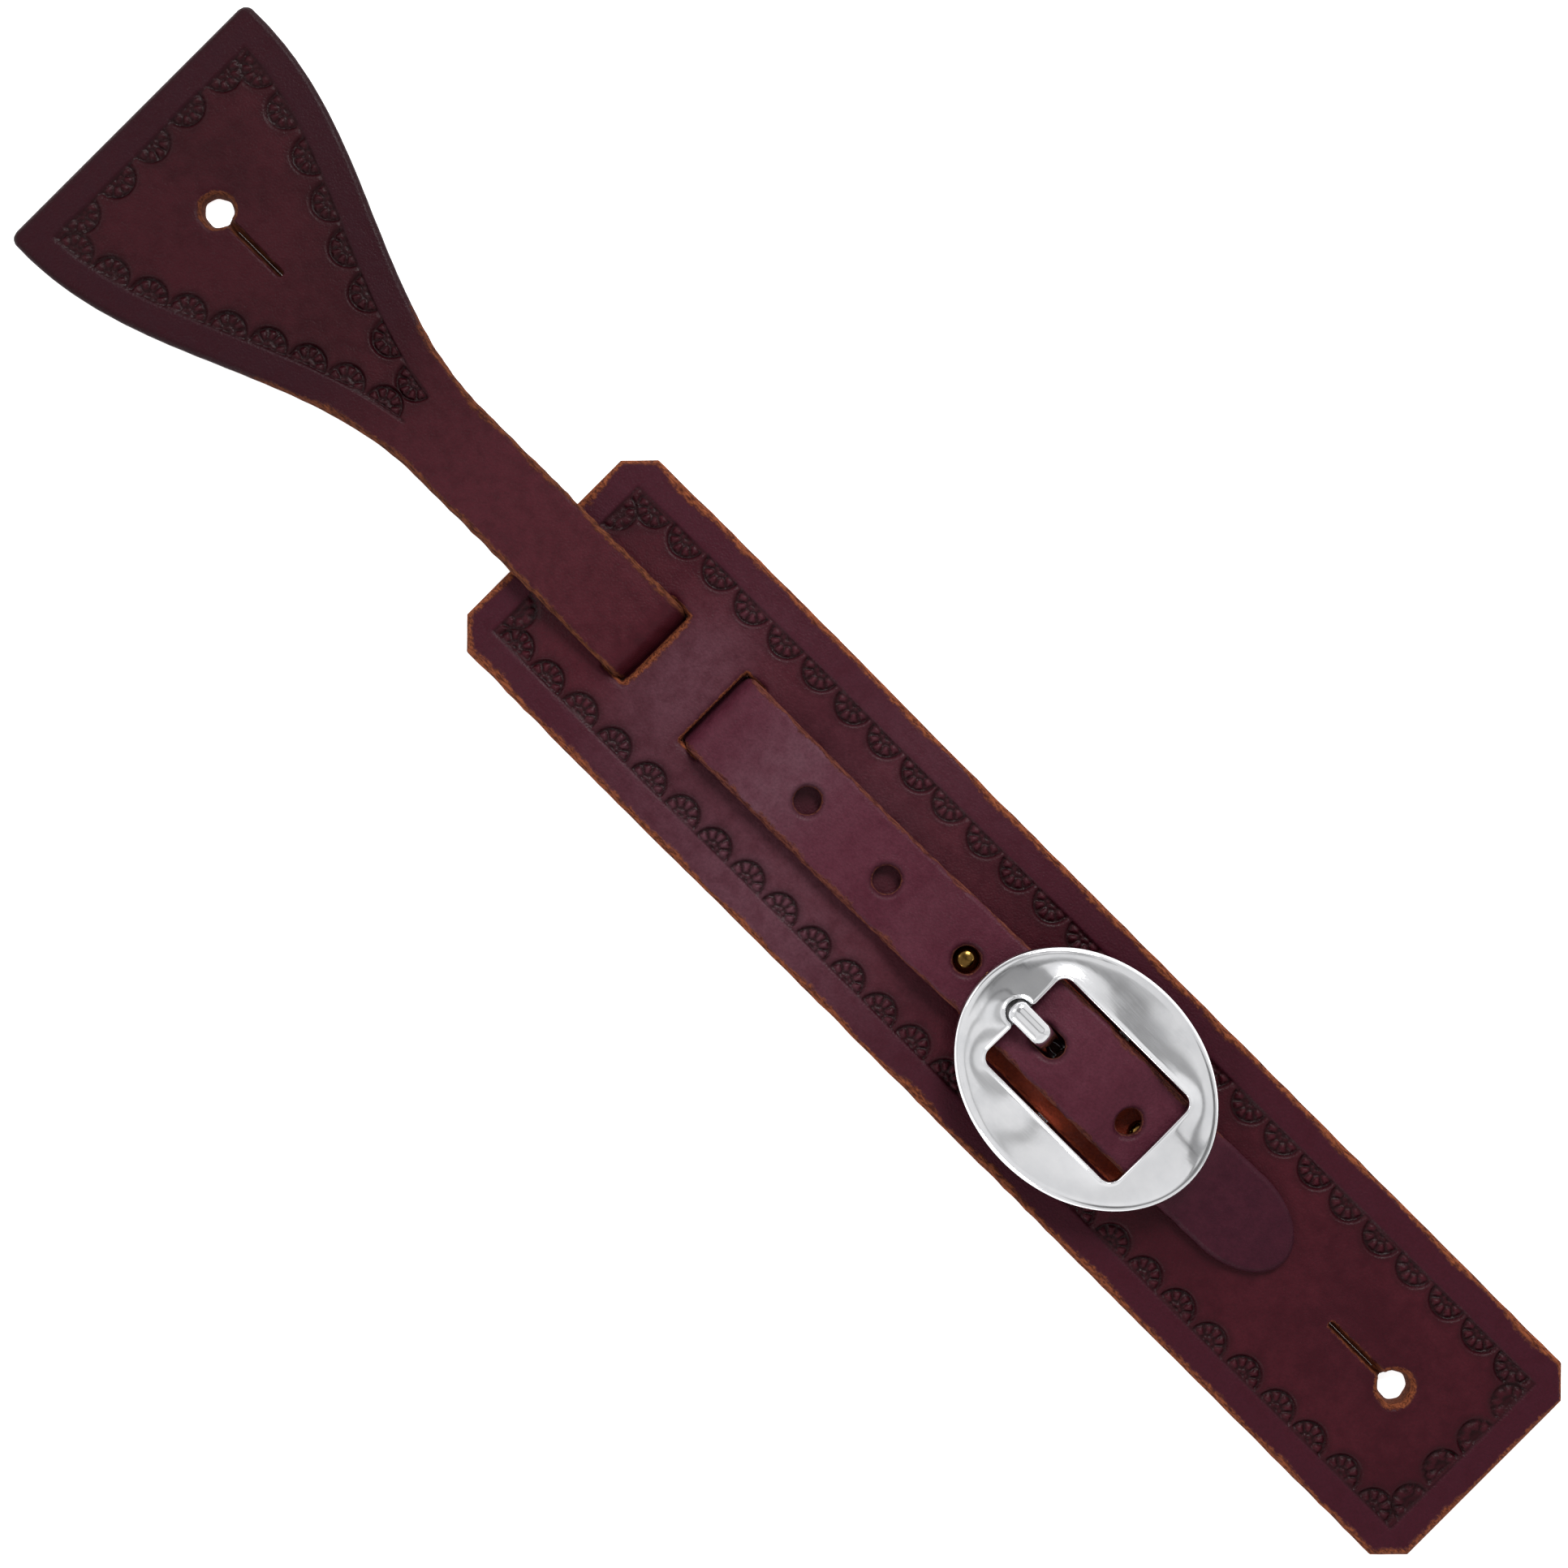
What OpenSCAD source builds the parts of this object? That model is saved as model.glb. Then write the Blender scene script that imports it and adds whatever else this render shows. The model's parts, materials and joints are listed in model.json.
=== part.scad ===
// Western spur strap: a wide tooled panel, a flared tab whose narrow strap is laced through
// two slots of the panel, and a cart buckle that a riveted strip of leather holds on the panel.
// It lies flat, face up: X runs along it, Z is up, and the origin is under its middle.

/* [Panel] */
// Length of the wide panel
panel_len = 250; // [236:1:320]
// Width of the wide panel
panel_w = 51; // [42:0.5:62]
// Thickness of the panel's leather
panel_t = 3.6; // [3:0.1:4.5]
// Length cut off along each edge at a corner
panel_clip = 5; // [2:0.5:8]
// Leather left between the two lacing slots
lace_bridge = 15; // [12:0.5:20]
// From the panel's front end to the near side of the bridge between the slots
lace_set = 30; // [28:0.5:40]

/* [Tab and strap] */
// From the tab's end to the panel's front end
tab_reach = 111; // [106:1:140]
// Width of the flared tab
tab_w = 63; // [50:0.5:76]
// Length over which the flare narrows to the strap
flare_len = 82; // [60:1:84]
// Rounding of the tab's two corners
tab_corner = 2; // [1:0.5:5]
// Width of the strap
strap_w = 18; // [14:0.5:20]
// Thickness of the strap's leather
strap_t = 3; // [2.4:0.1:3.4]
// Thickness of the strap at its skived tip
tip_t = 1.8; // [1.2:0.1:2.4]
// Length of the strap past the buckle's bar
tip_len = 51.5; // [44:0.5:60]
// Distance between the strap's holes
hole_pitch = 21; // [18:0.5:25]
// Diameter of the strap's holes
hole_d = 5.4; // [5.2:0.1:6]

/* [Buttonholes] */
// Diameter of the buttonhole at each end
button_d = 6.6; // [5:0.1:9]
// Width of the slit that opens the buttonhole
slit_w = 1.6; // [0.8:0.1:2]
// Length of the slit from the buttonhole's centre
slit_len = 17; // [12:0.5:22]
// From the end of the leather to the buttonhole's centre
button_set = 24; // [18:0.5:30]

/* [Buckle] */
// From the panel's back end to the buckle's bar
bar_set = 107.2; // [96:0.1:125]
// Length of the buckle's oval frame, along the strap
frame_len = 54; // [50:0.5:60]
// Width of the buckle's oval frame
frame_w = 43.5; // [40:0.5:50]
// Length of the frame's window
window_len = 33.6; // [32:0.2:36]
// Width of the frame's window
window_w = 21.8; // [20:0.2:24]
// Rounding of the window's corners
window_r = 2.2; // [1:0.1:3]
// Thickness of the frame's metal
frame_t = 2.2; // [1.8:0.1:2.6]
// Metal left under the tongue's tip in its cradle
cradle_floor = 0.8; // [0.6:0.1:1]
// How far the frame's face falls from its middle to its two ends
end_fall = 2.4; // [1.5:0.1:3]
// How far the frame's face falls from its middle to its two sides
side_fall = 4; // [2:0.1:5]
// Diameter of the bar
bar_d = 3; // [2.5:0.1:3.6]
// Thickness of each lug that holds the bar
lug_t = 3; // [2:0.1:4]
// Wall of metal round the bar in the lugs and in the tongue's eye
eye_wall = 1.2; // [1:0.1:1.6]
// Width of the tongue at its tip
tongue_w = 4.4; // [3.4:0.1:4.8]
// Thickness of the tongue at its tip
tongue_t = 2.4; // [2:0.1:3]

/* [Strip and rivets] */
// Gap between the strip over the bar and each lug
strip_gap = 1.2; // [1:0.1:2.4]
// Width of the strip at its two ends
strip_end_w = 14; // [10:0.5:17]
// Thickness of the strip over the bar
strip_t = 1.8; // [1.4:0.1:2.2]
// Diameter of a rivet's dome
dome_d = 5; // [4.2:0.1:5]
// Height of a rivet's dome
dome_h = 2; // [1.4:0.1:2.2]
// Diameter of a rivet's shank
shank_d = 2.6; // [2:0.1:3]
// Diameter of a rivet's burr on the back
burr_d = 8; // [6:0.2:10]
// Thickness of a rivet's burr
burr_t = 0.9; // [0.6:0.1:1.2]

/* [Fits] */
// Gap between leather that lies on leather
lay_gap = 0.3; // [0.2:0.05:0.5]
// Gap between the strap and the sides of a slot
lace_gap = 0.4; // [0.3:0.05:0.8]
// Gap between the strap and the edges that it bends over
bend_gap = 0.12; // [0.1:0.01:0.2]
// Radial gap between the bar and the tongue's eye
eye_gap = 0.05; // [0.03:0.01:0.1]
// Room that the frame has to rock over the strap
rock_gap = 0.9; // [0.9:0.05:1.4]
// How far each end of the leather can bend
flex_deg = 60; // [30:5:60]

/* [Hidden] */

latigo = "#5b2733";
cut_edge = "#6d3226";
steel = "#d3d4d8";
brass = "#b08a34";

facets = 64;
big = 400;
cut_over = 1;

// Places along the length
x_tab = -(tab_reach + panel_len) / 2;
x_panel = x_tab + tab_reach;
x_end = x_panel + panel_len;
x_bridge = x_panel + lace_set;
x_bar = x_end - bar_set;
x_tip = x_bar + tip_len;
x_button_tab = x_tab + button_set;
x_button_tail = x_end - button_set;

// Lacing: the strap dips through each slot in two bends
mid = strap_t / 2;
bend_in = 1.1;
bend_r = bend_in + mid;
bend_deg = 72;
bridge_h = strap_t + lay_gap;
over_z = bridge_h + panel_t + lay_gap;
bend_straight = (over_z - 2 * bend_r * (1 - cos(bend_deg))) / sin(bend_deg);
bend_run = 2 * bend_r * sin(bend_deg) + bend_straight * cos(bend_deg);
slot_half = bend_run / 2 - sqrt(pow(bend_in - bend_gap, 2) - pow(bend_in - lay_gap, 2));
slot_w = strap_w + 2 * lace_gap;
x_slot_1 = x_bridge - slot_half;
x_slot_2 = x_bridge + lace_bridge + slot_half;
x_dip_1 = x_slot_1 - bend_run / 2;
x_dip_2 = x_slot_2 + bend_run / 2;

// The panel rises over the strap round the slots
rise_lead = 0.6;
panel_ramp = 23.5;
x_rise_2 = x_dip_2 + rise_lead;
x_flat = x_rise_2 + panel_ramp;

// The strip lies over the bar, and the strap over the strip
eye_r = bar_d / 2 + eye_gap + eye_wall;
z_bar = panel_t + lay_gap + eye_r;
strip_crest = z_bar + bar_d / 2 + 0.15;
strap_crest = strip_crest + strip_t + 0.2;
strap_on_panel = panel_t + lay_gap;
strap_on_strip = strap_on_panel + strip_t;
strap_on_dome = strap_on_strip + dome_h;
crest_half = 3.4;
hole_back = 9.9;
rivet_back = 15.2;
x_hole = x_bar - hole_back;
x_rivet_1 = x_hole - hole_pitch;
x_rivet_2 = x_bar + rivet_back;
strip_end = 6;
strip_lead = 10;
x_strip_1 = x_rivet_1 - strip_end;
x_strip_2 = x_rivet_2 + strip_end;
tip_run = 17;
x_tip_flat = x_rivet_2 + tip_run;
strip_w = window_w - 2 * strip_gap;

// Where the leather bends
flat_tab = 69;
x_tab_flex = x_tab + 96.5;
x_tail_flex = (x_tip + x_button_tail - slit_len) / 2;
x_tip_flex = x_tip_flat - 1;
flex_gap = 0.3;
tip_part = 0.2;

function clamp(u) = max(0, min(1, u));
function ease(u) = let (c = clamp(u)) c * c * (3 - 2 * c);
// Height at x on a line that eases from each station [x, z] to the next
function eased(x, at, i = 0) =
    x <= at[0][0] ? at[0][1]
    : i >= len(at) - 1 ? at[len(at) - 1][1]
    : x <= at[i + 1][0]
        ? at[i][1] + (at[i + 1][1] - at[i][1]) * ease((x - at[i][0]) / (at[i + 1][0] - at[i][0]))
        : eased(x, at, i + 1);
function spread(a, b, n) = [for (i = [0:n]) a + (b - a) * i / n];

// Underside of the panel
panel_stations = [[x_panel, 0], [x_dip_1 - rise_lead, bridge_h], [x_rise_2, bridge_h], [x_flat, 0]];

// Underside of the strap before the first slot and after the second
tab_stations = [[x_tab + flat_tab, 0], [x_dip_1, over_z]];
strap_stations = [
    [x_rise_2, over_z],
    [x_flat, strap_on_panel],
    [x_strip_1 - strip_lead, strap_on_panel],
    [x_strip_1, strap_on_strip],
    [x_rivet_1 + hole_d / 2, strap_on_strip],
    [x_bar - crest_half, strap_crest],
    [x_bar + crest_half, strap_crest],
    [x_rivet_2 - dome_d / 2, strap_on_dome],
    [x_rivet_2 + dome_d / 2, strap_on_dome],
    [x_tip_flat, strap_on_panel]];

// Half thickness of the strap at x: it is skived towards its tip
x_skive = x_rivet_2 + 5;
function half_t(x) = (strap_t + (tip_t - strap_t) * clamp((x - x_skive) / (x_tip - x_skive))) / 2;
function on_line(at, x) = [x, eased(x, at) + half_t(x)];

// Middle line of a dip through a slot at x, [x, z], downwards
function bend_arc(x, z, turn) =
    [for (a = spread(0, bend_deg, 6)) [x + bend_r * sin(a), z - turn * bend_r * (1 - cos(a))]];
function turned(pts) = [for (i = [len(pts) - 1:-1:0]) pts[i]];
function flipped(pts, x) = [for (p = turned(pts)) [2 * x - p[0], p[1]]];
function dip(x) = concat(bend_arc(x - bend_run / 2, over_z + mid, 1), flipped(bend_arc(x - bend_run / 2, mid, -1), x));

// Middle line of the strap in side view, [x, z], from the tab's end to the tip
strap_line = concat(
    [[x_tab - cut_over, mid]],
    [for (x = spread(x_tab + flat_tab, x_dip_1 - rise_lead, 26)) on_line(tab_stations, x)],
    dip(x_slot_1),
    flipped(dip(x_slot_2), x_slot_2),
    [for (x = spread(x_rise_2, x_flat, 12)) on_line(strap_stations, x)],
    [for (x = spread(x_strip_1 - strip_lead, x_rivet_1, 7)) on_line(strap_stations, x)],
    [for (x = spread(x_rivet_1 + hole_d / 2, x_tip_flat, 36)) on_line(strap_stations, x)],
    [[x_tip + cut_over, strap_on_panel + half_t(x_tip)]]);

// A line set to one side by its half thickness: side 1 above, -1 below
function beside(pts, side) = [for (i = [0:len(pts) - 1])
    let (a = pts[max(0, i - 1)], b = pts[min(len(pts) - 1, i + 1)], d = b - a, l = norm(d))
    pts[i] + side * half_t(pts[i][0]) * [-d[1], d[0]] / l];

// Side view of the strap, tab and all
module strap_side() polygon(concat(beside(strap_line, 1), turned(beside(strap_line, -1))));

// Side view of the panel
panel_xs = concat(spread(x_panel, x_dip_1 - rise_lead, 10), spread(x_rise_2, x_flat, 10), [x_end]);
module panel_side() polygon(concat(
    [for (x = panel_xs) [x, eased(x, panel_stations)]],
    turned([for (x = panel_xs) [x, eased(x, panel_stations) + panel_t]])));

// The part of a side view left or right of a bending line, cut to a blunt edge so that it
// can bend both ways about [x, z]
module flex_side(x, z, side) {
    lean = tan(flex_deg / 2 + 1) * big;
    far = side * 2 * big;
    translate([x + side * flex_gap / 2, z])
        polygon([[0, 0], [side * lean, big], [far, big], [far, -big], [side * lean, -big]]);
}

// A side view carried across the width
module across() rotate([90, 0, 0]) linear_extrude(2 * big, center = true) children();

// A plan view carried through the height
module through() translate([0, 0, -big]) linear_extrude(2 * big) children();

// Round hole and slit, which runs towards +X if way is 1 and towards -X if it is -1
module buttonhole(x, way) {
    translate([x, 0, -cut_over]) cylinder(h = 4 * panel_t, d = button_d, $fn = facets);
    translate([x + (way - 1) * slit_len / 2, -slit_w / 2, -cut_over]) cube([slit_len, slit_w, 4 * panel_t]);
}

module panel_plan() {
    c = panel_clip;
    h = panel_w / 2;
    polygon([[x_panel + c, -h], [x_end - c, -h], [x_end, c - h], [x_end, h - c],
             [x_end - c, h], [x_panel + c, h], [x_panel, h - c], [x_panel, c - h]]);
}

module slot(x) translate([x - slot_half, -slot_w / 2, -cut_over])
    cube([2 * slot_half, slot_w, 4 * panel_t]);

z_tail_flex = panel_t / 2;
burr_seat = 0.1;
module panel() color(latigo) difference() {
    intersection() {
        across() intersection() {
            panel_side();
            flex_side(x_tail_flex, z_tail_flex, -1);
        }
        through() panel_plan();
    }
    slot(x_slot_1);
    slot(x_slot_2);
    for (x = [x_rivet_1, x_rivet_2]) translate([x, 0, 0]) {
        translate([0, 0, -cut_over]) cylinder(h = 2 * panel_t, d = shank_d + 0.2, $fn = facets);
        translate([0, 0, -cut_over]) cylinder(h = cut_over + burr_seat + burr_t, d = burr_d + 0.2, $fn = facets);
    }
}

module panel_tail() color(latigo) difference() {
    intersection() {
        across() intersection() {
            panel_side();
            flex_side(x_tail_flex, z_tail_flex, 1);
        }
        through() panel_plan();
    }
    buttonhole(x_button_tail, -1);
}

// Half width of the tab at x: the flare eases into the strap along half a cosine wave
function tab_half(x) = let (u = clamp((x_tab + 4 + flare_len - x) / flare_len))
    (strap_w + (tab_w - strap_w) * (1 - cos(180 * u)) / 2) / 2;
flare_xs = spread(x_tab + 6, x_tab + 4 + flare_len, 22);
corner_turns = spread(180, 90, 4);
tab_side_pts = concat(
    [for (a = corner_turns) [x_tab + tab_corner * (1 + cos(a)), tab_w / 2 - tab_corner * (1 - sin(a))]],
    [for (x = flare_xs) [x, tab_half(x)]]);
// The strap's tip is half an ellipse
tip_round = 14;
tip_pts = [for (a = spread(90, 0, 10)) [x_tip - tip_round + tip_round * cos(a), strap_w / 2 * sin(a)]];
module strap_plan() {
    half = concat(tab_side_pts, tip_pts);
    polygon(concat(half, turned([for (p = half) [p[0], -p[1]]])));
}

z_tab_flex = eased(x_tab_flex, tab_stations) + mid;
module flared_tab() color(latigo) difference() {
    intersection() {
        across() intersection() {
            strap_side();
            flex_side(x_tab_flex, z_tab_flex, -1);
        }
        through() strap_plan();
    }
    buttonhole(x_button_tab, 1);
}

// Holes of the strap: one free past the tongue, and as many before it as there is room for
x_first_hole = x_rise_2 + 12;
free_holes = concat([x_hole + hole_pitch],
    [for (i = [1:20]) if (x_hole - i * hole_pitch > x_first_hole) x_hole - i * hole_pitch]);
module strap_hole(x) translate([x, 0, -cut_over]) cylinder(h = big / 10, d = hole_d, $fn = facets);

// The tongue's hole is drawn long by its pull
pull = 2.2;
module tongue_hole() {
    w = tongue_w + 0.4;
    for (x = [x_hole - pull / 2, x_hole + pull / 2]) translate([x, 0, -cut_over])
        cylinder(h = big / 10, d = w, $fn = facets);
    translate([x_hole - pull / 2, -w / 2, -cut_over]) cube([pull, w, big / 10]);
}

module laced_strap() color(latigo) difference() {
    intersection() {
        across() intersection() {
            strap_side();
            flex_side(x_tab_flex, z_tab_flex, 1);
            translate([x_tip_flex - big, -big]) square([big, 2 * big]);
        }
        through() strap_plan();
    }
    for (x = free_holes) strap_hole(x);
    tongue_hole();
}

module strap_tip() color(latigo) intersection() {
    across() intersection() {
        strap_side();
        translate([x_tip_flex + tip_part, -big]) square([big, 2 * big]);
    }
    through() strap_plan();
}

// Strip of leather over the bar, with a slot for the tongue
strip_top = 1.5;
strip_ramp = 10.3;
strip_stations = [[x_bar - strip_top - strip_ramp, panel_t], [x_bar - strip_top, strip_crest],
                  [x_bar + strip_top, strip_crest], [x_bar + strip_top + strip_ramp, panel_t]];
strip_xs = concat([x_strip_1], spread(strip_stations[0][0], strip_stations[1][0], 9),
                  spread(strip_stations[2][0], strip_stations[3][0], 9), [x_strip_2]);
tongue_slot_w = tongue_w + 1.6;
tongue_slot_len = hole_back + eye_r + 3.8;
module strip_side() polygon(concat(
    [for (x = strip_xs) [x, eased(x, strip_stations)]],
    turned([for (x = strip_xs) [x, eased(x, strip_stations) + strip_t]])));
module strip_plan() {
    full = window_len / 2 + 1;
    half = [[x_strip_1, strip_end_w], [x_bar - full, strip_w], [x_bar + full, strip_w], [x_strip_2, strip_end_w]];
    polygon(concat([for (p = half) [p[0], p[1] / 2]], turned([for (p = half) [p[0], -p[1] / 2]])));
}
module bar_strip() color(cut_edge) difference() {
    intersection() {
        across() strip_side();
        through() strip_plan();
    }
    translate([x_bar + eye_r + 0.7 - tongue_slot_len, -tongue_slot_w / 2, 0])
        cube([tongue_slot_len, tongue_slot_w, big / 10]);
    for (x = [x_rivet_1, x_rivet_2]) translate([x, 0, 0])
        cylinder(h = big / 10, d = shank_d + 0.2, $fn = facets);
}

// Domed head and shank of each rivet
module rivets() color(brass) for (x = [x_rivet_1, x_rivet_2]) translate([x, 0, 0]) {
    cap_r = (dome_d * dome_d / 4 + dome_h * dome_h) / (2 * dome_h);
    base = panel_t + strip_t;
    rotate_extrude($fn = facets) intersection() {
        translate([0, base + dome_h - cap_r]) circle(cap_r, $fn = facets);
        translate([0, base]) square([dome_d, dome_h + cut_over]);
    }
    translate([0, 0, burr_seat]) cylinder(h = base, d = shank_d, $fn = facets);
}

// Burr that each shank is headed over, let into the flesh side
module rivet_burrs() color(brass) for (x = [x_rivet_1, x_rivet_2]) translate([x, 0, burr_seat]) difference() {
    cylinder(h = burr_t, d = burr_d, $fn = facets);
    translate([0, 0, -cut_over]) cylinder(h = burr_t + 2 * cut_over, d = shank_d, $fn = facets);
}

// Face of the oval frame: a dome over the bar, as low as the strap lets it lie
function fall_at(p) = end_fall * pow(2 * p[0] / frame_len, 2) + side_fall * pow(2 * p[1] / frame_w, 2);
strap_at_window = strap_t + max([for (side = [-1, 1]) eased(x_bar + side * window_len / 2, strap_stations)]);
face_z = strap_at_window + rock_gap + frame_t + fall_at([window_len, strap_w] / 2);
function dome_at(p) = face_z - fall_at(p);
// A quarter of the window's outline, from the +X side round to the +Y side
wl = window_len / 2 - window_r;
ww = window_w / 2 - window_r;
quarter = concat([for (y = spread(0, ww, 4)) [window_len / 2, y]],
                 [for (a = spread(18, 72, 3)) [wl + window_r * cos(a), ww + window_r * sin(a)]],
                 [for (x = spread(wl, 0, 7)) [x, window_w / 2]]);
half_loop = concat(quarter, [for (i = [len(quarter) - 2:-1:1]) [-quarter[i][0], quarter[i][1]]]);
window_loop = concat(half_loop, [for (p = half_loop) -p]);
// The point of the oval rim on the same ray from the middle
function rim_of(p) = p / norm([2 * p[0] / frame_len, 2 * p[1] / frame_w]);
// Section of the frame's metal: [share of the way to the rim, height above or below the face]
section = [[0, -frame_t], [0, -0.4], [0.05, 0], [0.3, -0.1], [0.65, -0.1], [0.93, 0], [1, -0.5],
           [1, -frame_t + 0.3], [0.95, -frame_t], [0.5, -frame_t]];
module oval_frame() {
    n = len(window_loop);
    m = len(section);
    pts = [for (p = window_loop) for (s = section)
        let (q = p + (rim_of(p) - p) * s[0]) [q[0], q[1], dome_at(q) + s[1]]];
    faces = [for (i = [0:n - 1]) for (j = [0:m - 1])
        let (a = i * m + j, b = i * m + (j + 1) % m, c = ((i + 1) % n) * m + j, d = ((i + 1) % n) * m + (j + 1) % m)
        each [[a, c, b], [b, c, d]]];
    polyhedron(points = pts, faces = faces);
}

module lugs() for (y = [-1, 1] * (window_w + lug_t) / 2) {
    translate([0, y, z_bar]) rotate([90, 0, 0]) cylinder(h = lug_t, r = eye_r, center = true, $fn = facets);
    translate([-eye_r, y - lug_t / 2, z_bar])
        cube([2 * eye_r, lug_t, dome_at([0, window_w / 2 + lug_t]) - frame_t / 2 - z_bar]);
}

// Cradle in the frame for the tongue's tip
cradle_len = 3.4;
cradle_w = tongue_w + 0.5;
x_cradle = -(window_len + 2 * cradle_len - cradle_w) / 2;
z_cradle = dome_at([x_cradle, 0]) - frame_t + cradle_floor;
module cradle() {
    translate([x_cradle, 0, z_cradle]) cylinder(h = big / 10, d = cradle_w, $fn = facets);
    translate([x_cradle, -cradle_w / 2, z_cradle]) cube([cradle_len + cut_over, cradle_w, big / 10]);
}

module buckle_frame() color(steel) translate([x_bar, 0, 0]) difference() {
    union() {
        oval_frame();
        lugs();
    }
    cradle();
    translate([0, 0, z_bar]) rotate([90, 0, 0])
        cylinder(h = window_w + 4 * lug_t, d = bar_d, center = true, $fn = facets);
}

module buckle_bar() color(steel) translate([x_bar, 0, z_bar]) rotate([90, 0, 0])
    cylinder(h = window_w + 2 * lug_t, d = bar_d, center = true, $fn = facets);

// Middle line of the tongue, [x, z] from the bar: out of the eye, up through the strap's hole
// and level into the cradle
tongue_len = window_len / 2 + cradle_len - 0.6;
tip_h = z_cradle + 0.1 + tongue_t / 2 - z_bar;
tongue_climb = [[-hole_back - 3.4, tip_h], [-hole_back + 3.4, 0]];
tongue_line = [for (x = spread(-bar_d / 2 - 0.4, -tongue_len, 14)) [x, eased(x, tongue_climb)]];
// Share of the full width and thickness at x: slim in the hole and round at the tip
tongue_shares = [[-tongue_len, 0.45], [-tongue_len + 1.2, 0.96], [-tongue_len + 3.5, 1],
                 [-hole_back, 0.76], [-bar_d / 2, 0.84]];
tongue_sides = 14;
module tongue_shank() {
    n = len(tongue_line);
    m = tongue_sides;
    pts = [for (i = [0:n - 1])
        let (a = tongue_line[max(0, i - 1)], b = tongue_line[min(n - 1, i + 1)], d = (b - a) / norm(b - a),
             c = tongue_line[i], share = eased(c[0], tongue_shares) / 2)
        for (k = [0:m - 1]) let (q = 360 * k / m, t = share * tongue_t * sin(q))
            [c[0] + t * d[1], share * tongue_w * cos(q), c[1] - t * d[0]]];
    walls = [for (i = [0:n - 2]) for (k = [0:m - 1])
        let (a = i * m + k, b = i * m + (k + 1) % m) each [[a, b, a + m], [b, b + m, a + m]]];
    ends = [[for (k = [m - 1:-1:0]) k], [for (k = [0:m - 1]) (n - 1) * m + k]];
    polyhedron(points = pts, faces = concat(walls, ends));
}

module buckle_tongue() color(steel) translate([x_bar, 0, z_bar]) difference() {
    union() {
        tongue_shank();
        rotate([90, 0, 0]) cylinder(h = tongue_w, r = eye_r, center = true, $fn = facets);
    }
    rotate([90, 0, 0]) cylinder(h = 2 * tongue_w, r = bar_d / 2 + eye_gap, center = true, $fn = facets);
}

panel();
panel_tail();
flared_tab();
laced_strap();
strap_tip();
bar_strip();
rivets();
rivet_burrs();
buckle_frame();
buckle_bar();
buckle_tongue();
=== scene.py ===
# %% [markdown]
# # A tooled leather spur strap
#
# A wide panel of burgundy latigo leather lies over a rider's instep. A flared tab ends in a narrow
# strap, which is laced down and up through two slots of the panel and closed by an oval cart buckle.
# Each cell below makes one piece or one finish. The leather is made as surfaces worked out with numpy,
# because hand tooling is relief, and relief is easiest to write as a height over a flat pattern.

# %% Load the frame
import json
import bpy
import numpy as np
from mathutils.geometry import delaunay_2d_cdt
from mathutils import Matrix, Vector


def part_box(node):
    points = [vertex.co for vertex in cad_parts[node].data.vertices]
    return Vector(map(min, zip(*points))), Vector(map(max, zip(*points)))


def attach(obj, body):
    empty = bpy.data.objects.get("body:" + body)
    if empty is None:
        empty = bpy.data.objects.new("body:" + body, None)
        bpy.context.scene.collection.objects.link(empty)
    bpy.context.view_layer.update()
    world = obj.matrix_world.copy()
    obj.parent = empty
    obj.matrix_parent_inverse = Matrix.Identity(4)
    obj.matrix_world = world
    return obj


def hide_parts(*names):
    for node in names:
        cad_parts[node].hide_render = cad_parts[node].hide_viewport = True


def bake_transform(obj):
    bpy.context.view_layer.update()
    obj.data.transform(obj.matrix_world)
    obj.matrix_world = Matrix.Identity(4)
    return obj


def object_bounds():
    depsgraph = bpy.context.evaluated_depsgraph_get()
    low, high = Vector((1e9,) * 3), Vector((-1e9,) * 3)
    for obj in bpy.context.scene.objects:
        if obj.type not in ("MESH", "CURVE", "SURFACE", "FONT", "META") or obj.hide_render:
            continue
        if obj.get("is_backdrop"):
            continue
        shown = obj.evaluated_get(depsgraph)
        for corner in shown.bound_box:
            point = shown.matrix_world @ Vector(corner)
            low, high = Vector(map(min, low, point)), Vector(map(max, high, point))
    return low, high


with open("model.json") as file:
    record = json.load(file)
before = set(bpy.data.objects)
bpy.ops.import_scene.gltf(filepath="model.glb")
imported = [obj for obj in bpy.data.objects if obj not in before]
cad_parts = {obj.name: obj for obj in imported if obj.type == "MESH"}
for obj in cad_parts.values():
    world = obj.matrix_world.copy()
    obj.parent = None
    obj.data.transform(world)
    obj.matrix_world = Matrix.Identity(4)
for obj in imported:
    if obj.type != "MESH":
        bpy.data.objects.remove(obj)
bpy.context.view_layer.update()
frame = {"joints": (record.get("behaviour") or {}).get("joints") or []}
MM = 0.001

# %% [markdown]
# ## Sizes
#
# Everything is worked out in millimetres and turned into metres when a mesh is made. The ends and
# widths are read from the frame's own pieces and joints, so that the looks follow the construction.
# The few sizes that a box can't tell are named here.

# %% Read the main places from the frame
def box_mm(node):
    """Lowest and highest corner of a frame piece, in millimetres."""
    low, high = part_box(node)
    return np.array(low) / MM, np.array(high) / MM


joints = {joint["name"]: joint for joint in frame["joints"]}
x_tab = box_mm("flared_tab")[0][0]
x_panel = box_mm("panel")[0][0]
x_end = box_mm("panel_tail")[1][0]
x_tip = box_mm("strap_tip")[1][0]
half_tab = box_mm("flared_tab")[1][1]
half_panel = box_mm("panel")[1][1]
half_strap = box_mm("strap_tip")[1][1]
x_bar, _, z_bar = np.array(joints["buckle_tilt"]["pos_m"]) / MM
bar_d = np.ptp([v[2] for v in box_mm("buckle_bar")])
print("tab", x_tab, "panel", x_panel, "to", x_end, "tip", round(x_tip, 1), "bar", x_bar, round(z_bar, 2))

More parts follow.
